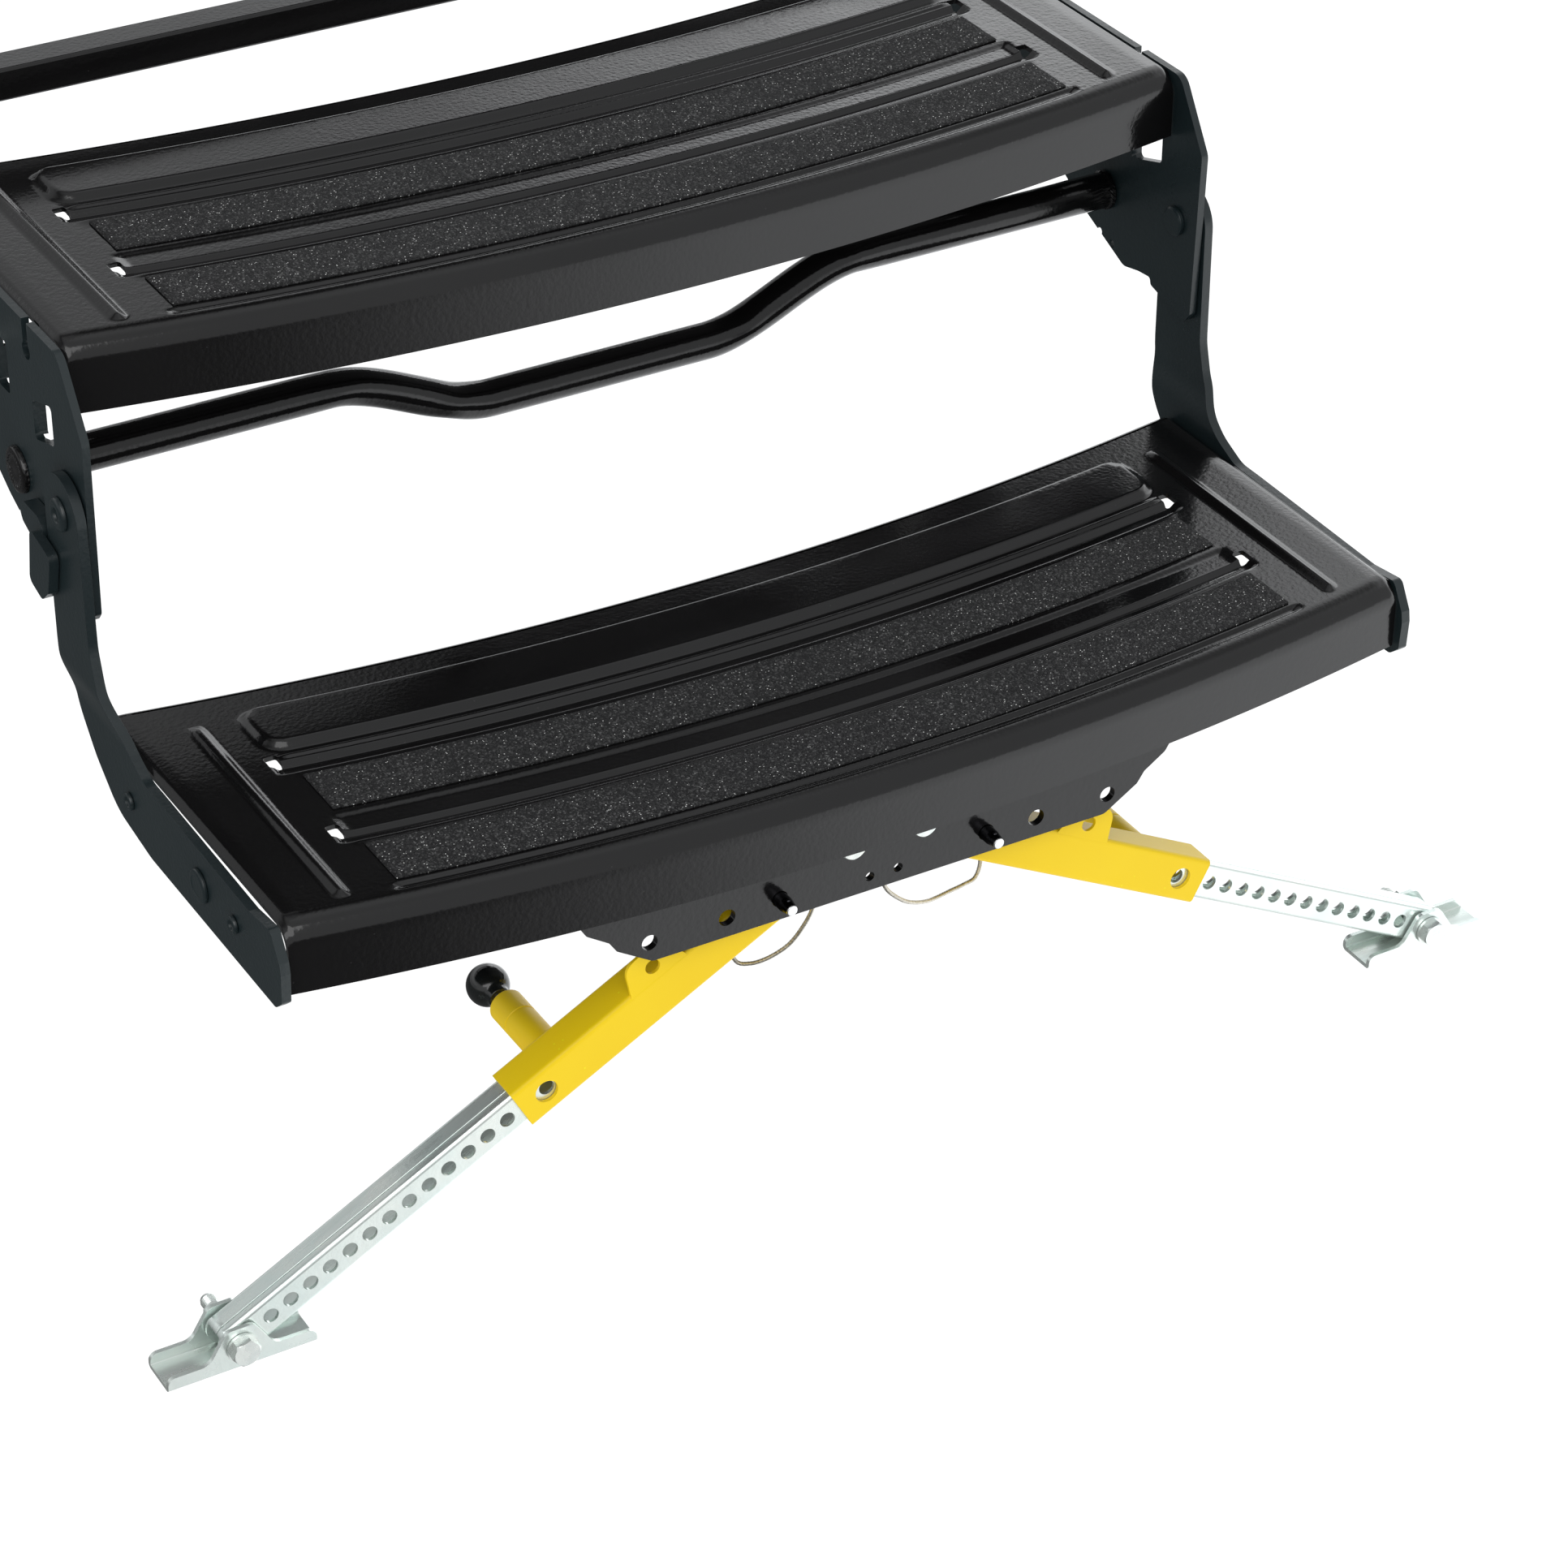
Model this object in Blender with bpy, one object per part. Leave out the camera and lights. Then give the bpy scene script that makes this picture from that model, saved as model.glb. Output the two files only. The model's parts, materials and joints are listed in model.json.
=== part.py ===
"""Folding two-tread entry step with telescoping stabiliser legs, in metres, +Z up, treads facing -Y."""

import math

import bmesh
import bpy
from mathutils import Matrix, Vector

MM = 0.001

# Origin: centre of the front bar's top face. Lengths are in millimetres from the lower tread's front corner line.
ORIGIN_Y = 450.5
ORIGIN_Z = 232.0

# Treads
TREAD_HALF = 310.0
UPPER_HALF = 310.2
SHEET = 2.5
ARC_SPAN = 312.0
ARC_RISE = 29.0
LIP = 37.0
FRONT_BEND = 12.0
BACK_V = 211.0
RUN = 218.5
RISE = 195.6
VALLEY_DEPTH = 1.0
GROOVE_DEPTH = 3.0
BEAD_RISE = 1.0
PANEL_RISE = 4.0
END_RIB_X = 276.0
END_RIB_RISE = 2.2
GRIP_HALF = 249.0
GRIP_DEPTH = 33.5
GRIP_THICK = 0.9
GRIP_V = (20.5, 87.5)
SLOT_X = 256.0
SLOT_V = (70.5, 138.5)

# Side plates and arms
PLATE_IN = 310.5
PLATE_T = 4.0
ARM_LOW_IN = 310.5
ARM_SHIFT = 4.8
ARM_T = 5.0
JOG_LOW = 5.0
JOG_HIGH = 28.0
ARM_PIVOT = (211.0, 112.5)
ROD_R = 9.8
ROD_Y = 276.0
ROD_Z = 103.7
ROD_DROP = 28.0
ROD_FLAT = 62.0
ROD_EASE = 90.0

# Fold links and frame
LINK_IN = 322.5
LINK_T = 5.0
LINK_HALF = 13.0
FRAME_F = (482.0, 209.0)
FRAME_R = (554.0, 209.0)
LINK_LEN = 150.0
LINK_DEG = 210.0
RAIL_IN = 332.0
RAIL_T = 3.0
RAIL_OUT = 371.0
RAIL_SLOT_X = 353.5
RAIL_Y0 = 436.0
RAIL_Y1 = 645.0
RAIL_Z0 = 185.0
TOP_Z = 232.0
BAR_DEPTH = 21.0
BAR_H = 17.4

# Legs
PIN_X = 58.3
PIN_Z = -63.0
LEG_DEG = 28.0
LEG_V = -6.5
OUTER_H = 25.0
OUTER_Y0 = -4.0
OUTER_Y1 = 17.0
OUTER_U0 = -25.0
OUTER_U1 = 159.0
WALL = 2.0
INNER_GAP = 0.4
INNER_WALL = 1.8
INNER_U0 = 104.0
FOOT_U = 331.0
HOLE_PITCH = 12.05
HOLE_U0 = 166.9
HOLES_OUT = 13
HOLES_IN = 4
PLUNGER_U = HOLE_U0 - 3 * HOLE_PITCH
KNOB_Y = 80.0
KNOB_R = 11.0
FOOT_DROP = 13.0
FOOT_HALF = 38.5


for old in list(bpy.data.objects):
    bpy.data.objects.remove(old, do_unlink=True)


def material(name, color, metallic, roughness, coat=0.0):
    made = bpy.data.materials.new(name)
    made.use_nodes = True
    shader = made.node_tree.nodes["Principled BSDF"]
    shader.inputs["Base Color"].default_value = (*color, 1.0)
    shader.inputs["Metallic"].default_value = metallic
    shader.inputs["Roughness"].default_value = roughness
    shader.inputs["Coat Weight"].default_value = coat
    return made


BLACK = material("black_coat", (0.012, 0.012, 0.013), 0.0, 0.22, 0.5)
PLATE_BLACK = material("plate_coat", (0.018, 0.028, 0.030), 0.0, 0.3, 0.4)
GRIT = material("grit_tape", (0.02, 0.02, 0.021), 0.0, 0.95)
YELLOW = material("yellow_coat", (0.9, 0.58, 0.015), 0.0, 0.3, 0.3)
ZINC = material("zinc_plate", (0.62, 0.67, 0.66), 1.0, 0.32)
STEEL = material("steel", (0.5, 0.5, 0.52), 1.0, 0.3)
KNOB = material("knob_plastic", (0.01, 0.01, 0.01), 0.0, 0.25)
ROPE = material("wire_rope", (0.55, 0.5, 0.42), 1.0, 0.45)


def solid(verts, faces):
    """A bmesh from points in millimetres, with its faces turned outwards."""
    made = bmesh.new()
    points = [made.verts.new(p) for p in verts]
    for face in faces:
        made.faces.new([points[i] for i in face])
    bmesh.ops.recalc_face_normals(made, faces=made.faces)
    return made


def fillet(corners, radius):
    """The outline with each corner rounded. radius is one number, or one for each corner."""
    count = len(corners)
    radii = [radius] * count if isinstance(radius, (int, float)) else radius
    out = []
    for i, corner in enumerate(corners):
        here = Vector(corner)
        before = Vector(corners[i - 1]) - here
        after = Vector(corners[(i + 1) % count]) - here
        angle = before.angle(after)
        if radii[i] <= 0 or angle > math.radians(172):
            out.append(tuple(here))
            continue
        reach = radii[i] / math.tan(angle / 2)
        reach = min(reach, 0.48 * before.length, 0.48 * after.length)
        used = reach * math.tan(angle / 2)
        start = here + before.normalized() * reach
        end = here + after.normalized() * reach
        middle = (before.normalized() + after.normalized()).normalized()
        centre = here + middle * (used / math.sin(angle / 2))
        turn = math.pi - angle
        steps = max(1, round(turn / math.radians(32)))
        a = start - centre
        b = end - centre
        whole = a.angle(b)
        for k in range(steps + 1):
            t = k / steps
            if whole < 1e-6:
                out.append(tuple(start))
                break
            p = a * (math.sin((1 - t) * whole) / math.sin(whole))
            q = b * (math.sin(t * whole) / math.sin(whole))
            out.append(tuple(centre + p + q))
    return out


def place(axis, a, b, t):
    """A point from its two coordinates across the axis and its place along it."""
    if axis == "x":
        return (t, a, b)
    if axis == "y":
        return (a, t, b)
    return (a, b, t)


def prism(outline, axis, low, high):
    count = len(outline)
    verts = [place(axis, a, b, low) for a, b in outline]
    verts += [place(axis, a, b, high) for a, b in outline]
    faces = [list(range(count)), list(range(count, 2 * count))]
    for i in range(count):
        j = (i + 1) % count
        faces.append([i, j, count + j, count + i])
    return solid(verts, faces)


def box(x0, x1, y0, y1, z0, z1):
    return prism([(x0, y0), (x1, y0), (x1, y1), (x0, y1)], "z", z0, z1)


def ring(a, b, radius, sides, turn=0.0):
    step = 2 * math.pi / sides
    return [
        (a + radius * math.cos(i * step + turn), b + radius * math.sin(i * step + turn))
        for i in range(sides)
    ]


def rod(axis, a, b, radius, low, high, sides=12):
    return prism(ring(a, b, radius, sides), axis, low, high)


def lathe(axis, a, b, profile, sides=12):
    """A solid of revolution. profile lists (place along the axis, radius), and its two ends close."""
    verts = []
    faces = []
    for t, radius in profile:
        verts += [place(axis, p, q, t) for p, q in ring(a, b, radius, sides)]
    rows = len(profile)
    for k in range(rows - 1):
        for i in range(sides):
            j = (i + 1) % sides
            faces.append(
                [k * sides + i, k * sides + j, (k + 1) * sides + j, (k + 1) * sides + i]
            )
    faces.append(list(range(sides)))
    faces.append(list(range((rows - 1) * sides, rows * sides)))
    return solid(verts, faces)


def sweep(path, radius, sides=10):
    """A round bar along a path, its section carried along without twist."""
    points = [Vector(p) for p in path]
    last = len(points) - 1
    tangents = [
        (points[min(i + 1, last)] - points[max(i - 1, 0)]).normalized()
        for i in range(last + 1)
    ]
    side = tangents[0].orthogonal().normalized()
    verts = []
    faces = []
    for point, tangent in zip(points, tangents):
        side = (side - tangent * side.dot(tangent)).normalized()
        other = tangent.cross(side)
        for p, q in ring(0.0, 0.0, radius, sides):
            verts.append(tuple(point + side * p + other * q))
    for k in range(last):
        for i in range(sides):
            j = (i + 1) % sides
            faces.append(
                [k * sides + i, k * sides + j, (k + 1) * sides + j, (k + 1) * sides + i]
            )
    faces.append(list(range(sides)))
    faces.append(list(range(last * sides, (last + 1) * sides)))
    return solid(verts, faces)


def ball(centre, radius, rings=7, sides=12):
    """A ball with its poles along Y."""
    profile = []
    for i in range(rings + 1):
        angle = math.pi * (0.06 + 0.88 * i / rings)
        profile.append((centre[1] - radius * math.cos(angle), radius * math.sin(angle)))
    return lathe("y", centre[0], centre[2], profile, sides)


def loop_ring(centre, major, minor, normal, around=14, sides=6):
    """A closed ring of round wire."""
    verts = []
    faces = []
    axis = Vector(normal).normalized()
    side = axis.orthogonal().normalized()
    other = axis.cross(side)
    for k in range(around):
        angle = 2 * math.pi * k / around
        out = side * math.cos(angle) + other * math.sin(angle)
        for p, q in ring(0.0, 0.0, minor, sides):
            verts.append(tuple(Vector(centre) + out * (major + p) + axis * q))
    for k in range(around):
        n = (k + 1) % around
        for i in range(sides):
            j = (i + 1) % sides
            faces.append([k * sides + i, k * sides + j, n * sides + j, n * sides + i])
    return solid(verts, faces)


def as_object(shape, name):
    mesh = bpy.data.meshes.new(name)
    shape.to_mesh(mesh)
    shape.free()
    made = bpy.data.objects.new(name, mesh)
    bpy.context.scene.collection.objects.link(made)
    return made


def combine(target, shapes, operation):
    """Applies one Boolean to the target for each shape, then removes the helper."""
    for shape in shapes:
        helper = as_object(shape, "helper")
        step = target.modifiers.new("step", "BOOLEAN")
        step.operation = operation
        step.solver = "EXACT"
        step.object = helper
        bpy.context.view_layer.update()
        graph = bpy.context.evaluated_depsgraph_get()
        mesh = bpy.data.meshes.new_from_object(target.evaluated_get(graph))
        target.modifiers.clear()
        target.data = mesh
        bpy.data.objects.remove(helper, do_unlink=True)


def together(shapes):
    """Separate shapes that don't touch, as one helper."""
    whole = shapes[0]
    for other in shapes[1:]:
        mesh = bpy.data.meshes.new("join")
        other.to_mesh(mesh)
        whole.from_mesh(mesh)
        other.free()
    return whole


bodies = {}


def body(name, y, z, x=0.0):
    """An empty on a moving body's joint axis. Coordinates are millimetres from the lower tread's corner line."""
    empty = bpy.data.objects.new(name + "_axis", None)
    empty.location = (x * MM, (y - ORIGIN_Y) * MM, (z - ORIGIN_Z) * MM)
    bpy.context.scene.collection.objects.link(empty)
    bodies[name] = (empty, Vector((x, y, z)))


def finish(name, owner, paint, shape, add=(), cut=(), keep=()):
    """Makes one named piece: its first shape, joined with add, cut by cut, and limited to keep."""
    made = as_object(shape, name)
    combine(made, add, "UNION")
    combine(made, cut, "DIFFERENCE")
    combine(made, keep, "INTERSECT")
    empty, pivot = bodies[owner]
    mesh = made.data
    mesh.transform(Matrix.Translation(-pivot))
    mesh.transform(Matrix.Scale(MM, 4))
    mesh.materials.clear()
    mesh.materials.append(paint)
    made.parent = empty
    return made


def front_edge(x):
    """Where the bowed front edge lies at this x."""
    radius = (ARC_SPAN**2 + ARC_RISE**2) / (2 * ARC_RISE)
    return radius - ARC_RISE - math.sqrt(radius**2 - x**2)


def bump(value, low, high, edge):
    """1 between low and high, falling to 0 over edge outside them."""
    inside = min(value - (low - edge), (high + edge) - value) / edge
    return max(0.0, min(1.0, inside))


def relief(x, v):
    """Height of the pressed pattern at this x and distance behind the front edge."""
    across = abs(x)
    ends = bump(across, -1, 257.5, 4)
    height = -VALLEY_DEPTH * bump(v, 14.5, 16.5, 2.5) * ends
    height -= GROOVE_DEPTH * bump(v, 61, 66.5, 4) * ends
    height -= GROOVE_DEPTH * bump(v, 128.5, 134.5, 4) * ends
    height += BEAD_RISE * bump(v, 141, 142.5, 2.5) * ends
    height += PANEL_RISE * bump(v, 149, 183, 4) * bump(across, -1, 250, 7)
    height += END_RIB_RISE * bump(v, 18, 178, 6) * bump(across, 274, 278, 4)
    return height


def tread(name, owner, half, dy, dz):
    """One pressed tread: the bowed sheet with its lips and pattern, its side flanges and its drain slots."""
    stations = [84, 168, 240, 250, 257, 261.5, 270, 274, 278, 282]
    stations = [-x for x in reversed(stations)] + [0] + stations
    stations = [-half + 0.8] + stations + [half - 0.8]
    outer = [(0.0, -LIP), (0.0, -FRONT_BEND)]
    inner = [(SHEET, -LIP), (SHEET, -FRONT_BEND)]
    for degrees in (30, 60, 90):
        angle = math.radians(degrees)
        reach = FRONT_BEND
        outer.append((reach - reach * math.cos(angle), reach * math.sin(angle) - reach))
        reach = FRONT_BEND - SHEET
        inner.append(
            (FRONT_BEND - reach * math.cos(angle), reach * math.sin(angle) - FRONT_BEND)
        )
    rows = (14.5, 16.5, 19, 57, 61, 66.5, 70.5, 124.5, 128.5, 134.5, 138.5, 141, 142.5, 145, 149, 178, 183, 187, 203)
    for v in rows:
        outer.append((v, 0.0))
        inner.append((v, -SHEET))
    for degrees in (45, 90):
        angle = math.radians(degrees)
        reach = BACK_V - 203
        outer.append((203 + reach * math.sin(angle), reach * math.cos(angle) - reach))
        reach -= SHEET
        inner.append(
            (203 + reach * math.sin(angle), reach * math.cos(angle) - reach - SHEET)
        )
    outer.append((BACK_V, -14.0))
    inner.append((BACK_V - SHEET, -14.0))
    loop = outer + inner[::-1]
    count = len(loop)
    verts = []
    faces = []
    for x in stations:
        for v, z in loop:
            lift = relief(x, v) if FRONT_BEND <= v <= 203 else 0.0
            verts.append((x, front_edge(x) + v + dy, z + lift + dz))
    for k in range(len(stations) - 1):
        for i in range(count):
            j = (i + 1) % count
            faces.append([k * count + i, k * count + j, (k + 1) * count + j, (k + 1) * count + i])
    faces.append(list(range(count)))
    faces.append(list(range((len(stations) - 1) * count, len(stations) * count)))
    sheet = solid(verts, faces)
    flanges = []
    for side in (-1, 1):
        near = side * (half - SHEET)
        far = side * half
        low, high = min(near, far), max(near, far)
        outline = [(1.0, -34), (1.0, -6), (5.0, -1.2), (205, -1.2), (208, -6), (208, -26), (200, -34)]
        flanges.append(prism([(y + dy, z + dz) for y, z in outline], "x", low, high))
    slots = []
    for side in (-1, 1):
        for v in SLOT_V:
            x = side * SLOT_X
            y = front_edge(x) + v + dy
            slots.append(box(x - 3.25, x + 3.25, y - 4.5, y + 4.5, dz - 9, dz + 5))
    holes = []
    if owner == "lower_step":
        for y, z, radius, _ in ARM_RIVETS:
            holes.append(rod("x", y, z, radius + 0.3, -TREAD_HALF - 2, -TREAD_HALF + 5, 12))
            holes.append(rod("x", y, z, radius + 0.3, TREAD_HALF - 5, TREAD_HALF + 2, 12))
    finish(name, owner, BLACK, sheet, flanges, [together(slots + holes)])


def grips(prefix, owner, dy, dz):
    """The two grit strips of a tread, bowed with it, their front corners eased."""
    steps = 12
    for index, v0 in enumerate(GRIP_V):
        verts = []
        faces = []
        for k in range(steps + 1):
            front_x = -(GRIP_HALF - 0.6) + 2 * (GRIP_HALF - 0.6) * k / steps
            back_x = -GRIP_HALF + 2 * GRIP_HALF * k / steps
            front_y = front_edge(front_x) + v0 + dy
            back_y = front_edge(back_x) + v0 + GRIP_DEPTH + dy
            low = dz + 0.35
            high = low + GRIP_THICK
            verts.append((front_x, front_y, low))
            verts.append((back_x, back_y, low))
            verts.append((back_x, back_y, high))
            verts.append((front_x, front_y, high))
        for k in range(steps):
            for i in range(4):
                j = (i + 1) % 4
                faces.append([k * 4 + i, k * 4 + j, k * 4 + 4 + j, k * 4 + 4 + i])
        faces.append([0, 1, 2, 3])
        faces.append([steps * 4 + i for i in range(4)])
        finish(prefix + ("_front", "_rear")[index], owner, GRIT, solid(verts, faces))


# Rivets that hold an arm to the lower tread: y, z, shank radius, head radius
ARM_RIVETS = (
    (45.0, -23.0, 3.0, 4.6),
    (83.0, -24.0, 5.0, 8.8),
    (164.0, -23.0, 3.0, 4.6),
)

link_turn = math.radians(LINK_DEG)
STEP_F = (
    FRAME_F[0] + LINK_LEN * math.cos(link_turn),
    FRAME_F[1] + LINK_LEN * math.sin(link_turn),
)
STEP_R = (STEP_F[0] + FRAME_R[0] - FRAME_F[0], STEP_F[1])

leg_turn = math.radians(LEG_DEG)
LEG_C = math.cos(leg_turn)
LEG_S = math.sin(leg_turn)


def on_leg(side, u, v):
    """The x and z of a point u along a leg and v above it, from its pin."""
    return (side * (PIN_X + u * LEG_C + v * LEG_S), PIN_Z - u * LEG_S + v * LEG_C)


foot_x, FOOT_Z = on_leg(1, FOOT_U, LEG_V)

body("frame", ORIGIN_Y, ORIGIN_Z)
body("front_links", *FRAME_F)
body("rear_links", *FRAME_R)
body("upper_step", *STEP_F)
body("lower_step", *ARM_PIVOT)
for side, mark in ((-1, "L"), (1, "R")):
    plunger_x, plunger_z = on_leg(side, PLUNGER_U, LEG_V)
    inner_x, inner_z = on_leg(side, INNER_U0, LEG_V)
    body("leg_" + mark, 0.0, PIN_Z, side * PIN_X)
    body("pin_" + mark, 0.0, PIN_Z, side * PIN_X)
    body("inner_" + mark, 0.0, inner_z, inner_x)
    body("plunger_" + mark, KNOB_Y, plunger_z, plunger_x)
    body("foot_" + mark, 0.0, FOOT_Z, side * foot_x)


def spread(side, low, high):
    """The same span mirrored to one side, low first."""
    return (low, high) if side > 0 else (-high, -low)


# Frame: two rails, two cross bars and four pivot bolts
for side, mark in ((-1, "L"), (1, "R")):
    web = box(*spread(side, RAIL_IN, RAIL_IN + RAIL_T), RAIL_Y0, RAIL_Y1, RAIL_Z0, TOP_Z)
    flange = box(*spread(side, RAIL_IN + 1, RAIL_OUT), RAIL_Y0, RAIL_Y1, TOP_Z - RAIL_T, TOP_Z)
    foot = box(*spread(side, RAIL_IN + 1, RAIL_IN + 16), RAIL_Y0, RAIL_Y1, RAIL_Z0, RAIL_Z0 + RAIL_T)
    holes = [
        rod("x", y, z, 5.3, *spread(side, RAIL_IN - 2, RAIL_IN + 6), 14)
        for y, z in (FRAME_F, FRAME_R)
    ]
    for y in (470.0, 611.0):
        x = RAIL_SLOT_X * side
        slot = [(x - 5, y - 7), (x + 5, y - 7), (x + 5, y + 7), (x - 5, y + 7)]
        holes.append(prism(fillet(slot, 4.8), "z", TOP_Z - 6, TOP_Z + 3))
    finish("frame_rail_" + mark, "frame", BLACK, web, [flange, foot], [together(holes)])
    for where, (y, z) in (("front", FRAME_F), ("rear", FRAME_R)):
        near = LINK_IN - 0.3
        far = RAIL_IN + RAIL_T + 0.3
        profile = [(near - 1.2, 8.0), (near, 8.0), (near, 5.0), (near + LINK_T + 0.6, 5.0)]
        profile += [(near + LINK_T + 0.6, 8.0), (RAIL_IN - 0.3, 8.0), (RAIL_IN - 0.3, 5.0)]
        profile += [(far, 5.0), (far, 9.0), (far + 3, 8.0)]
        profile = [(side * t, radius) for t, radius in profile]
        finish("frame_bolt_%s_%s" % (where, mark), "frame", STEEL, lathe("x", y, z, profile))

for name, y in (("frame_front_bar", ORIGIN_Y), ("frame_rear_bar", 630.5)):
    half = BAR_DEPTH / 2
    low = TOP_Z - BAR_H
    outside = fillet([(y - half, low), (y + half, low), (y + half, TOP_Z), (y - half, TOP_Z)], 1.5)
    inside = fillet(
        [(y - half + 2, low + 2), (y + half - 2, low + 2), (y + half - 2, TOP_Z - 2), (y - half + 2, TOP_Z - 2)], 0.6
    )
    reach = RAIL_IN - 0.3
    finish(name, "frame", BLACK, prism(outside, "x", -reach, reach), cut=[prism(inside, "x", -reach - 5, reach + 5)])

# Fold links, each a flat bar with round ends
for where, owner, start, end in (
    ("front", "front_links", FRAME_F, STEP_F),
    ("rear", "rear_links", FRAME_R, STEP_R),
):
    for side, mark in ((-1, "L"), (1, "R")):
        outline = []
        for centre, base in ((start, link_turn + math.pi), (end, link_turn)):
            for k in range(7):
                angle = base - math.pi / 2 + math.pi * k / 6
                outline.append(
                    (centre[0] + LINK_HALF * math.cos(angle), centre[1] + LINK_HALF * math.sin(angle))
                )
        span = spread(side, LINK_IN, LINK_IN + LINK_T)
        holes = [rod("x", y, z, 5.3, span[0] - 2, span[1] + 2) for y, z in (start, end)]
        finish("%s_link_%s" % (where, mark), owner, BLACK, prism(outline, "x", *span), cut=[together(holes)])

# Upper step: side plates with turned-in tabs, cross rod, tread and strips, pivots and arm stops
PLATE = [(214, 193.5), (191, 157), (194, 64), (199, 58), (231, 66), (232, 70), (243, 69), (257, 66)]
PLATE += [(294, 82), (316, 95), (345, 112), (440, 112), (440, 189), (436, 193.5)]
PLATE_ROUND = [10, 8, 4, 4, 2, 2, 4, 8, 20, 20, 14, 12, 4, 4]
for side, mark in ((-1, "L"), (1, "R")):
    span = spread(side, PLATE_IN, PLATE_IN + PLATE_T)
    plate = prism(fillet(PLATE, PLATE_ROUND), "x", *span)
    through = (span[0] - 3, span[1] + 3)
    tabs = []
    cuts = []
    for y, z, wide, tall, tilt in ((239.0, 146.0, 24.0, 21.0, 0.3), (287.0, 156.0, 14.0, 28.0, 0.0)):
        rise = tilt * wide / 2
        window = [(y - wide / 2, z - tall / 2 + rise), (y + wide / 2, z - tall / 2 - rise)]
        window += [(y + wide / 2, z + tall / 2 - rise), (y - wide / 2, z + tall / 2 + rise)]
        cuts.append(prism(fillet(window, 2.5), "x", *through))
        leaf = spread(side, PLATE_IN - 2.5, PLATE_IN + 1.0)
        near = y + wide / 2
        top = min(z + tall / 2 - rise - 2, 160.5)
        tabs.append(box(*leaf, near + 0.1, near + 2.6, z - tall / 2 - rise + 2, top))
    cuts.append(box(*through, 250.0, 256.0, 179, 200))
    for y, z in ((281.0, 76.5), (269.0, 74.0)):
        cuts.append(rod("x", y, z, 2.25, *through, 10))
    cuts.append(rod("x", ROD_Y, ROD_Z, 5.8, *through))
    notch_end = rod("x", 253.0, 178.0, 4.6, *through)
    cuts.append(rod("x", *ARM_PIVOT, 5.3, *through))
    for y, z in (STEP_F, STEP_R):
        cuts.append(rod("x", y, z, 5.3, *through))
    finish("upper_side_" + mark, "upper_step", PLATE_BLACK, plate, tabs, [together(cuts), notch_end])
    for where, (y, z), reach in (("front", STEP_F, 5.0), ("rear", STEP_R, 4.6)):
        profile = [(307.2, 8.0), (310.2, 8.0), (310.2, 5.0), (314.8, 5.0), (314.8, 8.0)]
        near = LINK_IN - 0.3
        far = LINK_IN + LINK_T + 0.3
        profile += [(near, 8.0), (near, reach), (far, reach), (far, 8.0), (far + 2.6, 7.0)]
        profile = [(side * t, radius) for t, radius in profile]
        finish("step_pivot_%s_%s" % (where, mark), "upper_step", STEEL, lathe("x", y, z, profile))
    profile = [(307.6, 7.0), (310.2, 8.0), (310.2, 5.0), (320.6, 5.0), (320.6, 8.6), (322.4, 8.2)]
    profile += [(323.4, 6.6), (323.4, 3.4), (321.9, 3.2), (321.9, 0.6)]
    profile = [(side * t, radius) for t, radius in profile]
    finish("arm_pivot_" + mark, "upper_step", PLATE_BLACK, lathe("x", *ARM_PIVOT, profile, 12))
    face = fillet([(240, 92), (246, 61), (231, 57), (222, 65), (216, 87)], [3, 3, 4, 4, 4])
    stop = prism(face, "x", *spread(side, 321.0, 326.0))
    neck = fillet([(232.6, 83), (243, 80), (259, 86), (262, 92), (256, 98), (238, 98), (232.6, 94)], 4)
    neck = prism(neck, "x", *spread(side, 314.8, 322.0))
    finish("arm_stop_" + mark, "upper_step", PLATE_BLACK, stop, [neck])


def rod_path():
    """Half of the cross rod's centre line, from the middle out, with its set-down middle section."""
    half = [(0, ROD_Y, ROD_Z - ROD_DROP)]
    for k in range(9):
        t = k / 8
        rise = t * t * (3 - 2 * t)
        half.append((ROD_FLAT + ROD_EASE * t, ROD_Y, ROD_Z - ROD_DROP * (1 - rise)))
    half.append((303, ROD_Y, ROD_Z))
    return half


half_rod = rod_path()
path = [(-x, y, z) for x, y, z in reversed(half_rod[1:])] + half_rod
bar = sweep(path, ROD_R, 10)
ends = []
for side in (-1, 1):
    profile = [(302.0, ROD_R), (310.1, ROD_R), (310.1, 5.5), (314.8, 5.5), (314.8, 12.0), (317.2, 11.6), (318.0, 10.4)]
    ends.append(lathe("x", ROD_Y, ROD_Z, [(side * t, radius) for t, radius in profile], 12))
finish("cross_rod", "upper_step", BLACK, bar, ends)
tread("upper_tread", "upper_step", UPPER_HALF, RUN, RISE)
grips("upper_grip", "upper_step", RUN, RISE)

# Lower step: tread, strips, arms and their rivets
tread("lower_tread", "lower_step", TREAD_HALF, 0.0, 0.0)
grips("lower_grip", "lower_step", 0.0, 0.0)

ARM = [(231, 112.5), (231, 25), (222, 0), (205, -20), (182, -38), (143, -44), (3, -44), (-4, -38), (-5, -22)]
ARM += [(-4, -16), (4, -2), (27, -5), (131, -3), (145, -3), (161, 4), (176, 14), (185, 30), (190, 48), (191, 112.5)]
ARM_ROUND = [0, 30, 20, 20, 24, 20, 5, 3, 2, 3, 4, 6, 6, 8, 8, 8, 10, 20, 0]


def jog(z):
    """How far an arm is set out from its low section at this height."""
    t = max(0.0, min(1.0, (z - JOG_LOW) / (JOG_HIGH - JOG_LOW)))
    return ARM_SHIFT * t * t * (3 - 2 * t)


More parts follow.
